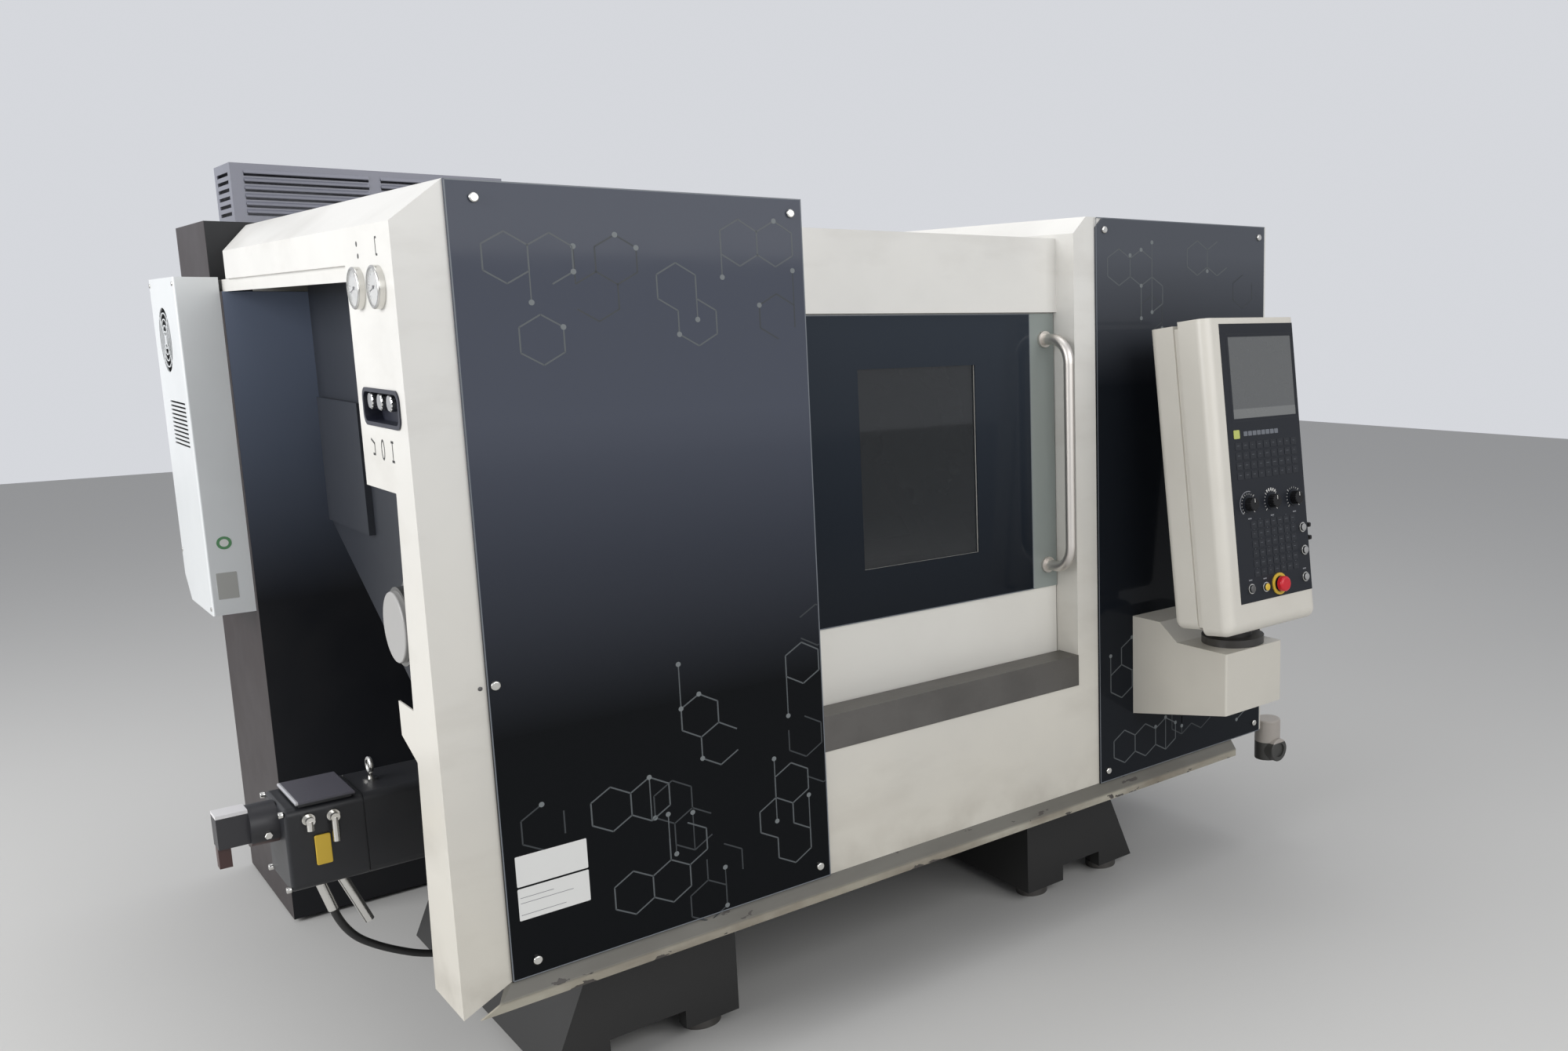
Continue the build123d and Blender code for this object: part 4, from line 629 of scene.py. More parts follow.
def raised(outline, height):
    """The points of an outline, with their height out of the face as a third number."""
    return np.concatenate([outline, np.full(outline.shape[:-1] + (1,), height)], -1)


def circle(turns):
    """Points (cos, sin) of the unit circle."""
    return np.stack([np.cos(turns), np.sin(turns)], -1)


print("pairs", ON_COVERS, ON_PENDANT)

# %% [markdown]
# Three functions work out the rings as whole arrays: of rounded plates, of turned studs and of
# straight strips. Two more give the ends of the lines of a dial and of a frame.

# %% Plates, studs and strips


def plates(name, face, boxes, low, high, finish, body, slot, radius=1.0, edge=0.3, steps=4):
    """Rounded plates: quarter circles about a box's four corners, drawn in by edge at the top."""
    boxes = np.asarray(boxes, float).reshape(-1, 4)
    quarters = circle((np.arange(4)[:, None] + np.linspace(0, 1, steps)) * (pi / 2))
    x0, z0, x1, z1 = boxes.T + np.array([radius, radius, -radius, -radius])[:, None]
    middles = np.array([[x1, z1], [x0, z1], [x0, z0], [x1, z0]]).transpose(2, 0, 1)[:, :, None]
    rings = []
    for inset, height in ((0.0, low), (0.0, high - edge), (edge, high)):
        outline = middles + quarters * (radius - inset)
        rings.append(raised(outline.reshape(len(boxes), -1, 2), height))
    return stacked(name, face, np.stack(rings, 1), finish, body)


def studs(name, face, centres, profile, finish, body, slot, sides=32, looped=False):
    """Turned pieces: each ring is its centre plus a radius times the unit circle, at its height out."""
    centres = np.asarray(centres, float).reshape(-1, 2)
    radii, heights = np.asarray(profile, float).T
    around = circle(np.arange(sides) * (2 * pi / sides))
    flat = centres[:, None, None, :] + radii[None, :, None, None] * around
    high = np.broadcast_to(heights[None, :, None, None], flat.shape[:3] + (1,))
    return stacked(name, face, np.concatenate([flat, high], -1), finish, body, looped)


def strips(name, face, ends, width, low, high, finish, body, slot):
    """Straight lines: both ends of each, moved by half the width to either side."""
    ends = np.asarray(ends, float).reshape(-1, 2, 2)
    along = ends[:, 1] - ends[:, 0]
    along /= np.linalg.norm(along, axis=1, keepdims=True)
    side = np.stack([-along[:, 1], along[:, 0]], -1) * (width / 2)
    ring = np.stack([ends[:, 0] - side, ends[:, 1] - side, ends[:, 1] + side, ends[:, 0] + side], 1)
    rings = np.stack([raised(ring, low), raised(ring, high)], 1)
    return stacked(name, face, rings, finish, body)


def round_marks(centres, inner, outer, turns):
    """Ends of short lines about each centre, from the inner to the outer radius, one for each turn."""
    spokes = np.stack([np.sin(turns), np.cos(turns)], -1)
    both = np.stack([spokes * inner, spokes * outer], 1)
    return (np.asarray(centres, float)[:, None, None] + both).reshape(-1, 2, 2)


def border(x0, z0, x1, z1):
    """The four sides of a box, as ends of lines."""
    corners = [(x0, z0), (x1, z0), (x1, z1), (x0, z1)]
    return list(zip(corners, corners[1:] + corners[:1]))


print("lines of a box", len(border(0, 0, 1, 1)))

# %% [markdown]
# ## The printed hexagons
#
# Thin lines are printed on the black glass in two inks, a light one and a faint one: chains of
# touching hexagons near the floor and near the top. A texture could hold them, but lines of real
# geometry stay sharp at any distance. A chain is a start and a walk over the honeycomb, one digit a
# step.

# %% Sides of hexagons
HEX_RADIUS = 47.0
SAME_PLACE = 7.0
SHORTEST = 0.05


def chain(x, z, walk):
    """Centres of touching hexagons: each digit times 60 degrees is a step of radius * sqrt(3)."""
    turns = np.array([int(digit) for digit in walk]) * (pi / 3)
    steps = circle(turns) * (HEX_RADIUS * 3**0.5)
    return np.concatenate([np.zeros((1, 2)), np.cumsum(steps, 0)]) + (x, z)


def hexagon_sides(centres):
    """Corners are the radius times (sin, cos) of multiples of 60 degrees. A shared side comes once."""
    turns = np.arange(7) * (pi / 3)
    corners = centres[:, None] + HEX_RADIUS * np.stack([np.sin(turns), np.cos(turns)], -1)
    ends = np.stack([corners[:, :-1], corners[:, 1:]], 2).reshape(-1, 2, 2)
    _, first = np.unique((ends.mean(1) / SAME_PLACE).round(), axis=0, return_index=True)
    return ends[np.sort(first)]


def cut_off(ends, low, high):
    """Sides end where they leave the glass, at t = (edge - x0) / (x1 - x0) of their length."""
    start, step = ends[:, :1], ends[:, 1:] - ends[:, :1]
    with np.errstate(divide="ignore"):
        shares = np.sort((np.array([low, high]) - start[:, 0, :1]) / step[:, 0, :1], axis=1)
    shares = np.clip(shares, 0, 1)
    return (start + step * shares[:, :, None])[shares[:, 1] - shares[:, 0] > SHORTEST]


print("lines of a hexagon", len(hexagon_sides(np.zeros((1, 2)))))

# %% [markdown]
# The print isn't complete: a seeded draw leaves out a side here and there, and sets upright stems and
# dots on some corners. The faint ink lies a little lower than the light one, so that the two never
# share a surface where their lines cross.

# %% Hexagon print
LINE_WIDTH, STEM_WIDTH = 3.0, 2.4
DOT_RADIUS = 5.4
GLASS_EDGE, DOT_EDGE = 4, 6
STEM_LOW, STEM_HIGH = 380, 1870
STEM_LENGTHS = 45, 105
KEPT, STEMMED, DOTTED = 0.92, 0.14, 0.08
CHAINS = {
    "left_low": [(250, 470, "01"), (620, 470, "21"), (455, 742, "2"), (660, 880, ""), (215, 660, "0")],
    "left_low_faint": [(80, 660, ""), (410, 400, "1"), (700, 640, "2"), (700, 960, ""), (385, 570, "2")],
    "left_high": [(95, 1750, "0"), (420, 1700, "5"), (560, 1790, "0"), (150, 1600, "")],
    "left_high_faint": [(260, 1680, "1"), (640, 1640, "")],
    "right_low": [(1650, 450, "00"), (2120, 470, "2"), (1640, 640, "1")],
    "right_low_faint": [(1880, 480, "15"), (2060, 640, ""), (2000, 760, "0")],
    "right_high": [(1640, 1760, "05"), (1940, 1790, "0")],
    "right_high_faint": [(2130, 1700, ""), (1760, 1640, "")],
}
for number, (label, chains) in enumerate(CHAINS.items()):
    draw = np.random.default_rng(number + 3)
    ink, lift = (pattern_faint, 0.10) if label.endswith("faint") else (pattern_ink, 0.15)
    x_low, _, x_high, _ = drawn_box(label.split("_")[0] + "_black_panel", GLASS_EDGE)
    ends = hexagon_sides(np.concatenate([chain(*one) for one in chains]))
    ends = cut_off(ends[draw.random(len(ends)) < KEPT], x_low, x_high)
    picked = ends[draw.random(len(ends)) < STEMMED][:, 0]
    length = draw.uniform(*STEM_LENGTHS, len(picked)) * draw.choice([-1, 1], len(picked))
    far = picked + np.stack([0 * length, length], -1)
    fits = (far[:, 1] > STEM_LOW) & (far[:, 1] < STEM_HIGH) & (far[:, 0] < x_high - DOT_EDGE)
    stems = np.stack([picked, far], 1)[fits]
    corners = ends[draw.random(len(ends)) < DOTTED][:, 1]
    dots = np.concatenate([far[fits], corners[corners[:, 0] < x_high - DOT_EDGE]])
    dot = [(DOT_RADIUS, 0), (DOT_RADIUS, lift + 0.01)]
    strips(f"hexagons_{label}", front_glass, ends, LINE_WIDTH, 0, lift, ink, *ON_COVERS)
    strips(f"stems_{label}", front_glass, stems, STEM_WIDTH, 0, lift - 0.01, ink, *ON_COVERS)
    studs(f"dots_{label}", front_glass, dots, dot, dot_ink, *ON_COVERS, sides=14)
    print(label, "sides", len(ends), "stems", len(stems), "dots", len(dots))

# %% [markdown]
# The edges of the glass are ground, so they show as thin lighter lines along each pane. One small
# dark screw holds the white frame beside the left panel's middle cap.

# %% Ground edges of the glass
edge_shine = plain("edge_shine", (0.150, 0.165, 0.185), 0.3)
PANES = {"left_black_panel": "machine", "right_black_panel": "machine", "door_glass": "door"}
EDGE_INSET, EDGE_WIDTH, EDGE_TOP = 1.3, 2.2, 0.12
for name, body in PANES.items():
    lines = border(*drawn_box(name, EDGE_INSET))
    on_pane = (edge_shine, body, "black_glass")
    strips(f"{name}_edge", side_of(name, "front"), lines, EDGE_WIDTH, 0, EDGE_TOP, *on_pane)
frame_face = side_of("left_front_panel", "front")
FRAME_SCREW = [(4.2, 0), (4.2, 0.8), (2.8, 1.6)]
studs("frame_screw", frame_face, [(-11, 957)], FRAME_SCREW, cap_dark, *ON_COVERS, sides=16)
print("ground edges", len(lines), "on each pane")

# %% [markdown]
# Two white plates are stuck on the glass near the floor. They are blank but for three grey rules on
# the lower one.

# %% Labels
LABELS = [(22, 553, 160, 615), (22, 484, 160, 549)]
LABEL_TOP = 0.5
plates("blank_labels", front_glass, LABELS, 0, LABEL_TOP, label_white, *ON_COVERS, radius=2, edge=0.2)
rules = [[(26, 530), (90, 530)], [(26, 519), (128, 519)], [(26, 495), (112, 495)]]
strips("label_lines", front_glass, rules, 1.2, LABEL_TOP, LABEL_TOP + 0.05, grey_print, *ON_COVERS)
print("labels", len(LABELS))

# %% [markdown]
# ## Gauges and regulators on the left strip
#
# Two pressure gauges show the chuck's and the tailstock's pressure. A dial is a white disc with a
# ring of marks, a needle and a flat glass, all in the recess of the CAD bezel. The marks run from
# lower left over the top to lower right.

# %% Gauges
GAUGE_RADIUS, DIAL_RADIUS = 39.0, 33.6
DIAL_DEPTH = 4.0
SWEEP = 0.75 * pi
NEEDLE = np.array([-1.9])
gauge_low, gauge_high = [drawn(corner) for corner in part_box("pressure_gauges")]
gauge_height = (gauge_low[2] + gauge_high[2]) / 2
gauge_places = (-gauge_low[1] - GAUGE_RADIUS, -gauge_high[1] + GAUGE_RADIUS)
GAUGES = np.array([(place, gauge_height) for place in gauge_places])
rim = (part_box("side_column")[0][0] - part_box("pressure_gauges")[0][0]) / MM
dial_face = strip_face.lifted(rim - DIAL_DEPTH)
turns = np.linspace(-SWEEP, SWEEP, 26)
disc, lens = [(DIAL_RADIUS, 0), (DIAL_RADIUS, 0.4)], [(DIAL_RADIUS, 2.6), (DIAL_RADIUS, 3.6)]
studs("gauge_dials", dial_face, GAUGES, disc, label_white, *COVER_METAL, sides=48)
for name, lines, width, low, high in (
    ("gauge_marks", round_marks(GAUGES, 26, 31, turns), 0.8, 0.4, 0.5),
    ("gauge_long_marks", round_marks(GAUGES, 23, 31, turns[::5]), 1.3, 0.4, 0.5),
    ("gauge_needles", round_marks(GAUGES, -7, 24, NEEDLE), 1.6, 0.7, 1.2),
):
    strips(name, dial_face, lines, width, low, high, dark_print, *COVER_METAL)
hub = [(3.2, 0.4), (3.2, 1.8), (2.6, 2.2)]
studs("gauge_hubs", dial_face, GAUGES, hub, dark_print, *COVER_METAL, sides=20)
studs("gauge_lenses", dial_face, GAUGES, lens, gauge_glass, "machine", "clear_glass", sides=48)
print("gauge rim", round(rim, 2), "mm out of the strip")

# %% [markdown]
# Small printed signs stand over the gauges and under the regulators and tell what each is for. They
# are plain generic marks here: a bar with two feet, an oval ring and a hook.

# %% Signs on the strip
KNOBS = (-106.0, -167.0, -228.0)
SIGN_HEIGHT = 1400.0
SIGN_WIDTH, SIGN_TOP = 4.6, 0.12
oval = circle(np.linspace(0, 2 * pi, 17)) * (9, 18)
signs = (
    [[(-8, 18), (8, 18)], [(-8, -18), (8, -18)], [(0, -18), (0, 18)]],
    np.stack([oval[:-1], oval[1:]], 1),
    [[(-13, 16), (10, 8)], [(8, 10), (8, -14)], [(8, -12), (-6, -12)]],
)
placed = [np.array(sign) + (knob, SIGN_HEIGHT) for knob, sign in zip(KNOBS, signs)]
sign_lines = np.concatenate(placed)
strips("regulator_signs", strip_face, sign_lines, SIGN_WIDTH, 0, SIGN_TOP, dark_print, *ON_COVERS)
over = np.array([[(5, 87), (-5, 87)], [(-4, 87), (-4, 57)], [(5, 57), (-5, 57)]]) + GAUGES[0]
strips("gauge_signs", strip_face, over, 4.0, 0, SIGN_TOP, dark_print, *ON_COVERS)
sign_dots = GAUGES[1] + np.array([(4, 80), (8, 58)])
dot = [(5.0, 0), (5.0, SIGN_TOP)]
studs("gauge_sign_dots", strip_face, sign_dots, dot, dark_print, *ON_COVERS, sides=16)
print("sign lines", len(sign_lines) + len(over))

# %% [markdown]
# ## The control pendant
#
# The operator's panel leans back on its swivel post. Its face is found from the pendant's corner and
# lean, and all of its keys, marks and rings are laid on that face, in millimetres across and up.
# They ride on the pendant, so they swing with it. The screen is a grey pane with a lighter band.

# %% The pendant's face
LEAN = radians(6.8)
pendant_face = Face(at(1627, -414, 834), (1, 0, 0), (0, sin(LEAN), cos(LEAN)))
PANEL = np.array([53.0, 78.0])
SKIN = 1.0
BAND_HEIGHT, BEZEL_GAP = 24, 7
screen = np.array([29.0, 468.0, 275.0, 674.0]) + np.tile(PANEL, 2)
plates("screen", pendant_face, screen, -0.4, 0.1, screen_glass, *ON_PENDANT, radius=3.0, edge=0.1)
band = screen[:2].tolist() + [screen[2], screen[1] + BAND_HEIGHT]
plates("screen_band", pendant_face, band, 0.1, 0.2, screen_band, *ON_PENDANT, radius=2.0, edge=0.05)
bezel = border(*(screen + np.array([-1, -1, 1, 1]) * BEZEL_GAP))
strips("screen_bezel", pendant_face, bezel, 1.6, SKIN, SKIN + 0.3, key_plastic, *ON_PENDANT)
print("pendant face", pendant_face.points([0, 0, 0]).round(3), "out", pendant_face.axes[2].round(3))

# %% [markdown]
# The keys are low plates on the panel, in fields with one pitch. A field is its first key, a count and
# a pitch, and every letter or machine key has a short print line of random length.

# %% Keys


def grid_boxes(left, low, columns, rows, pitch, size):
    """Boxes of a field of keys: corner plus column and row times the pitch."""
    column, row = np.meshgrid(np.arange(columns), np.arange(rows))
    x = left + column.ravel() * pitch[0]
    z = low + row.ravel() * pitch[1]
    return np.stack([x, z, x + size[0], z + size[1]], -1) + np.tile(PANEL, 2)


KEY_TOP = SKIN + 0.9
PRINT_RISE, LAMP_RISE = 1.5, 12.2
soft_grey = plain("soft_key_grey", (0.13, 0.14, 0.16), 0.4)
letter_keys = grid_boxes(24, 314, 9, 4, (27.4, 25), (22, 19))
machine_keys = grid_boxes(60, 62, 7, 6, (26, 25), (21, 19))
for name, field, top, finish, radius in (
    ("soft_keys", grid_boxes(60, 423, 8, 1, (17.2, 0), (14.5, 12)), SKIN + 0.8, soft_grey, 1.5),
    ("power_key", grid_boxes(22, 418, 1, 1, (0, 0), (22, 22)), SKIN + 1.5, lime_plastic, 2.5),
    ("letter_keys", letter_keys, KEY_TOP, key_plastic, 2.2),
    ("machine_keys", machine_keys, KEY_TOP, key_plastic, 2.2),
):
    plates(name, pendant_face, field, SKIN, top, finish, *ON_PENDANT, radius=radius)
keys = np.concatenate([letter_keys, machine_keys])
middle = (keys[:, :2] + keys[:, 2:]) / 2
draw = np.random.default_rng(5)
half = draw.uniform(2.0, 5.5, len(middle))
reach = np.stack([half, 0 * half], -1)
line = middle + (0, PRINT_RISE)
key_lines = np.stack([line - reach, line + reach], 1)
strips("key_prints", pendant_face, key_lines, 1.3, KEY_TOP, SKIN + 0.96, faint_print, *ON_PENDANT)
lamps = middle[len(letter_keys) :] + (0, LAMP_RISE)
lamp_profile = [(1.3, SKIN), (1.3, SKIN + 0.5)]
studs("key_lamps", pendant_face, lamps[::2], lamp_profile, faint_print, *ON_PENDANT, sides=10)
print("keys", len(keys))

# %% [markdown]
# Three override dials set feed, rapid and spindle speed. The ring of marks round each belongs to the
# panel, and the white pointer on each belongs to the dial and turns with it.

# %% Dial marks and pointers
DIALS = np.array([(58.0, 250.0), (147.0, 250.0), (237.0, 250.0)]) + PANEL
INK_TOP = SKIN + 0.06
DIAL_TOP = 23.3
POINTER_LOW, POINTER_HIGH = DIAL_TOP - 0.05, DIAL_TOP + 0.1
ARC_RADIUS = 33.0
turns = np.linspace(-SWEEP, SWEEP, 16)
arc = np.linspace(-SWEEP, 0.1 * pi, 16)
ring = DIALS[:1, None] + ARC_RADIUS * np.stack([np.sin(arc), np.cos(arc)], -1)
for name, lines, width, ink in (
    ("dial_marks", round_marks(DIALS, 24.5, 28.5, turns), 1.0, white_print),
    ("dial_long_marks", round_marks(DIALS, 24.5, 31.5, turns[::5]), 1.6, white_print),
    ("dial_arc", np.stack([ring[:, :-1], ring[:, 1:]], 2), 2.2, grey_print),
    ("dial_wide_marks", round_marks(DIALS[1:2], 27, 34, np.linspace(-0.5, 0.6, 5)), 4.2, white_print),
):
    strips(name, pendant_face, lines, width, SKIN, INK_TOP, ink, *ON_PENDANT)
for number, dial in enumerate(DIALS, start=1):
    on_dial = (white_print, f"dial_{number}", "black_plastic")
    pointer = round_marks(dial[None], 4, 14, np.array([0.0]))
    strips(f"dial_pointer_{number}", pendant_face, pointer, 2.0, POINTER_LOW, POINTER_HIGH, *on_dial)
print("dials", len(DIALS))

# %% [markdown]
# Push buttons with bright rings stand in the lowest row and above its right end, and the emergency
# stop on a yellow disc. The disc is a ring with a real hole, because the button's stem goes through
# it. Grey strips stand for the small names under the dials and over the lowest buttons.

# %% Buttons
BUTTONS = np.array([(42.0, 35.0), (98.0, 32.0), (263.0, 168.0), (265.0, 107.0), (260.0, 36.0)]) + PANEL
COLLAR = [(13, SKIN), (13, 4.4), (12.2, 5.2), (10.4, 5.2), (10.4, 4.0)]
CAP = [(9.2, 8.0), (9.2, 8.8), (7.6, 9.6), (3.0, 10.0)]
CAPS = (("grey", [2, 3, 4], cap_grey), ("yellow", [1], yellow_plastic), ("dark", [0], cap_dark))
STOP_DISC = [(28.4, SKIN), (28.4, 4.6), (27.8, 5.2), (20.6, 5.2), (20.6, SKIN)]
studs("button_rings", pendant_face, BUTTONS, COLLAR, bright_nickel, *PENDANT_METAL)
for label, chosen, finish in CAPS:
    studs(f"button_caps_{label}", pendant_face, BUTTONS[chosen], CAP, finish, *PENDANT_METAL, sides=24)
stop = np.array([[152.0, 33.0]]) + PANEL
on_stop = (yellow_plastic, "pendant", "red_plastic")
studs("stop_disc", pendant_face, stop, STOP_DISC, *on_stop, sides=48, looped=True)
under_dials, over_buttons = DIALS - (0, 37), BUTTONS[[0, 1, 4]] + (0, 22)
names = np.concatenate([under_dials, over_buttons])[:, None] + np.array([(-6.5, 0), (6.5, 0)])
strips("small_names", pendant_face, names, 3.2, SKIN, INK_TOP, grey_print, *ON_PENDANT)
print("buttons", len(BUTTONS), "names", len(names))

# %% [markdown]
# Two small black hooks on the pendant's right side are there to hang a cable on. The photograph shows
# hardly more than their outline, so they are small plates with a large sloped edge.

# %% Hooks
HOOKS = [(-376, 1072, -356, 1084), (-380, 1038, -360, 1050)]
hook_face = side_of("pendant_housing", "right")
plates("side_hooks", hook_face, HOOKS, 0, 11, knob_plastic, *ON_PENDANT, radius=3.0, edge=3.0)
print("hooks", len(HOOKS))

# %% [markdown]
# ## The cooling unit and the cabinet
#
# The cooling unit on the cabinet's left side has a round green seal and a grey rating plate, both
# blank here, and small screws at its corners.

# %% Cooling unit
SEAL = [(-146, 1066)]
COOLER_PLATE = [(-172, 918, -126, 988)]
SCREW = [(6.0, 0), (6.0, 1.4), (4.6, 2.4), (2.0, 2.7)]
cooler_left = side_of("cooling_housing", "left")
cooler_front = side_of("cooling_housing", "front")
studs("cooler_seal", cooler_front, SEAL, [(17, 0), (17, 0.3)], green_print, *ON_COVERS)
studs("cooler_seal_middle", cooler_front, SEAL, [(10, 0.3), (10, 0.4)], label_white, *ON_COVERS)
plate_grey = plain("plate_grey", (0.40, 0.40, 0.38), 0.4)
plates("cooler_plate", cooler_front, COOLER_PLATE, 0, 0.4, plate_grey, *ON_COVERS, radius=2.0, edge=0.2)
screws = [(-1522, 893), (-1522, 1730), (-1862, 1730), (-1862, 1010)]
studs("cooler_screws", cooler_left, screws, SCREW, bright_nickel, *COVER_METAL, sides=16)
print("cooling unit", cooler_left.corner.round(3))

# %% [markdown]
# ## Screws, seams and vents of the plain covers
#
# The covers that the photograph doesn't show are bolted sheets. Button-head screws stand in rows along
# their edges, and a thin dark seam shows where one sheet ends and the next begins.

# %% Cover screws


def rows(*runs, pitch=300.0):
    """Places along straight runs (x0, z0, x1, z1), evenly spaced and about one pitch apart."""
    places = []
    for x0, z0, x1, z1 in runs:
        start, end = np.array([x0, z0], float), np.array([x1, z1], float)
        count = round(np.linalg.norm(end - start) / pitch) + 1
        places.append(start + (end - start) * np.linspace(0, 1, count)[:, None])
    return np.unique(np.concatenate(places).round(3), axis=0)


BUTTON = [(5.5, 0), (5.5, 1.0), (4.4, 2.2), (2.2, 2.9)]
LOW, HIGH = 395, 1815
right_low, right_high = (150, LOW, 1575, LOW), (150, HIGH, 1575, HIGH)
rear_low, rear_high = (-2205, LOW, -745, LOW), (-2205, HIGH, -1530, HIGH)
right_screws = rows(right_low, right_high, (840, LOW, 840, HIGH), (880, LOW, 880, HIGH))
rear_screws = rows(rear_low, rear_high, (-1495, LOW, -1495, HIGH), (-1455, LOW, -1455, 1700))
right_face, rear_face = side_of("right_cover", "right"), side_of("rear_cover", "back")
screw_look, seam_look = (bright_nickel, *COVER_METAL), (dark_print, *ON_COVERS)
studs("right_cover_screws", right_face, right_screws, BUTTON, *screw_look, sides=16)
studs("rear_cover_screws", rear_face, rear_screws, BUTTON, *screw_look, sides=16)
strips("right_cover_seam", right_face, [(860, 368), (860, 1840)], 1.6, 0, 0.15, *seam_look)
strips("rear_cover_seam", rear_face, [(-1475, 368), (-1475, 1780)], 1.6, 0, 0.15, *seam_look)
print("cover screws", len(right_screws), len(rear_screws))

# %% [markdown]
# The cabinet's door has two fields of pressed vents, two locks and a blank rating plate. A vent is
# pressed outwards from the sheet, so a plate whose top is drawn in far gives its sloped sides.

# %% Cabinet door
DOOR_BACK = 2033.0
door_back = Face(at(0, DOOR_BACK, 0), (-1, 0, 0), (0, 0, 1))
ON_DOOR = ("rear_door", "cabinet_paint")
vents = [(x, z, x + 220, z + 12) for x in (-600, -350) for z in range(160, 400, 24)]
plates("door_vents", door_back, vents, 0, 5, cabinet_enamel, *ON_DOOR, radius=5.0, edge=3.5)
DOOR_PLATE = [(-420, 1500, -250, 1610)]
plates("door_plate", door_back, DOOR_PLATE, 0, 0.6, label_white, *ON_DOOR, radius=3.0, edge=0.2)
LOCK = [(13, 0), (13, 3.0), (11, 5.0), (4, 5.2)]
locks = [(22, 300), (22, 1600)]
studs("door_locks", door_back, locks, LOCK, bright_nickel, "rear_door", "bright_metal", sides=28)
print("vents", len(vents))

# %% [markdown]
# ## The motor's screws, its tag and its hose
#
# Four screws hold the motor's rear housing, a hexagon nut sits on the encoder, and a yellow tag hangs
# on the housing's front, which lies 16 mm behind the front of the motor's flange.

# %% Motor screws and tag
HEAD_SCREW = [(6.5, 0), (6.5, 7.0), (5.8, 8.0), (3.4, 8.0)]
NUT = [(8.0, -4.0), (8.0, 5.0), (6.8, 6.5), (3.0, 6.5)]
TAG = [(-213, 521, -184, 585)]
TAG_DEPTH = -16.0
motor_end = side_of("spindle_motor", "left")
corners = [(y, z) for y in (-488, -650) for z in (479, 641)]
studs("motor_screws", motor_end, corners, HEAD_SCREW, bright_nickel, *COVER_METAL, sides=20)
encoder_front = side_of("motor_encoder", "front")
studs("encoder_nut", encoder_front, [(-284, 593)], NUT, bright_nickel, *COVER_METAL, sides=6)
motor_front = side_of("spindle_motor", "front").lifted(TAG_DEPTH)
on_motor = (yellow_plastic, "machine", "motor_paint")
plates("motor_tag", motor_front, TAG, 3, 7, *on_motor, radius=3.0, edge=1.0)
print("motor screws", len(corners), "front", motor_front.corner.round(4))

# %% [markdown]
# The black hose leaves the motor through a bright sleeve, sags and enters the bed through a gland. It
# is a NURBS curve led by the same few points as the CAD tube, because a curve bends evenly and is
# easy to measure.

# %% Hose
ROUTE = ((-186, 512, 403), (-170, 513, 345), (-100, 516, 282), (10, 521, 222), (150, 528, 192))
HOSE_DIAMETER = 0.016
hose_data = bpy.data.curves.new("motor_hose_line", "CURVE")
hose_data.dimensions = "3D"
hose_data.resolution_u = 16
hose_data.bevel_depth = HOSE_DIAMETER / 2
hose_data.bevel_resolution = 6
hose_data.use_fill_caps = True
spline = hose_data.splines.new("NURBS")
spline.points.add(len(ROUTE) - 1)
route = np.array([at(*point) for point in ROUTE])
spline.points.foreach_set("co", np.concatenate([route, np.ones((len(route), 1))], 1).ravel())
spline.order_u = 3
spline.use_endpoint_u = True
hose_data.materials.append(black_rubber.material)
hose = bpy.data.objects.new("motor_hose_line", hose_data)
scene.collection.objects.link(hose)
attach(hose, "machine")
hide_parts("motor_hose")
print("hose points", len(ROUTE), "length", round(spline.calc_length(), 4))

# %% [markdown]
# ## Floor, light and surroundings
#
# The studio is a plain pale floor under three lamps. The photograph's light comes from tall windows on
# the left, so the strongest lamp stands there, a weaker one fills the front, and one above gives the
# tops their edge.

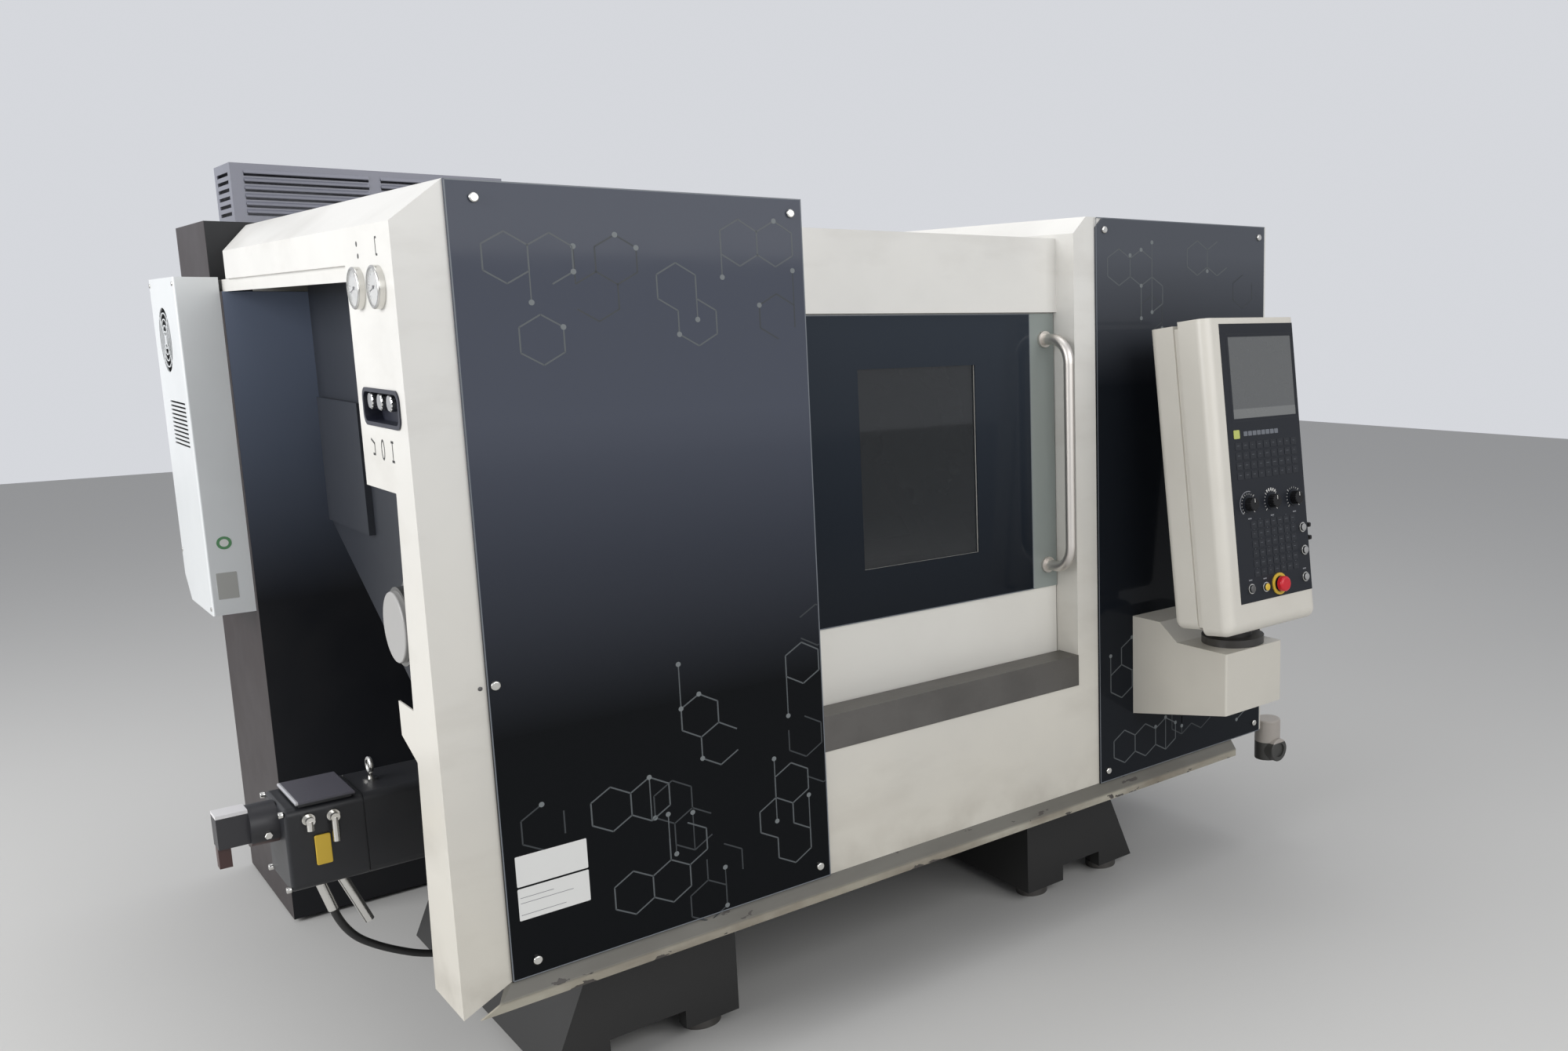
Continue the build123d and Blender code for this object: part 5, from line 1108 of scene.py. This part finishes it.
# %% Floor and lamps
FLOOR = (0.56, 0.555, 0.54)
REACH = 14.0
floor_finish = Finish("studio_floor", FLOOR, roughness=0.7)
floor_mesh = bpy.data.meshes.new("studio_floor")
corners = np.array([(-1, -1), (1, -1), (1, 1), (-1, 1)]) * REACH
floor_mesh.from_pydata([(x, y, 0.0) for x, y in corners], [], [(0, 1, 2, 3)])
floor_mesh.materials.append(floor_finish.material)
floor = bpy.data.objects.new("studio_floor", floor_mesh)
scene.collection.objects.link(floor)


def lamp(name, place, aim, size, watts):
    """An area lamp: pi / 2 + atan(rise / flat) tilts it from straight down to its aim."""
    data = bpy.data.lights.new(name, "AREA")
    data.shape = "RECTANGLE"
    data.size, data.size_y = size
    data.energy = watts
    light = bpy.data.objects.new(name, data)
    light.location = place
    x, y, rise = np.array(aim, float) - np.array(place, float)
    tilt = pi / 2 + np.arctan2(rise, np.hypot(x, y))
    light.rotation_euler = (tilt, 0, np.arctan2(y, x) - pi / 2)
    scene.collection.objects.link(light)


lamp("window_light", (-5.6, 0.1, 3.0), (0, 0, 1.0), (5.0, 3.0), 290)
lamp("front_fill", (0.6, -6.0, 3.4), (0.2, 0, 1.0), (5.0, 3.0), 155)
lamp("top_light", (0.5, 0.5, 5.5), (0, 0, 1.0), (4.0, 4.0), 85)

# %% [markdown]
# A pale grey surrounding closes the studio. The camera, the glass and the metal see it brighter than
# it lights the machine, so that the shadows keep their depth.

# %% Surroundings
SEEN, LIT = 0.72, 0.45
world = bpy.data.worlds.new("studio_surround")
world.use_nodes = True
surround = Nodes(world.node_tree)
rays = ("Is Camera Ray", "Is Glossy Ray", "Is Transmission Ray")
seen, glossy, through = [surround.node("ShaderNodeLightPath", out=name) for name in rays]
seen = seen.sum("MAXIMUM", glossy).sum("MAXIMUM", through)
strength = seen * (SEEN - LIT) + LIT
background = world.node_tree.nodes["Background"]
background.inputs["Color"].default_value = (0.93, 0.95, 1.0, 1.0)
world.node_tree.links.new(strength.socket, background.inputs["Strength"])
scene.world = world
scene.view_settings.view_transform = "Standard"
print("surround", world.name)

# %% [markdown]
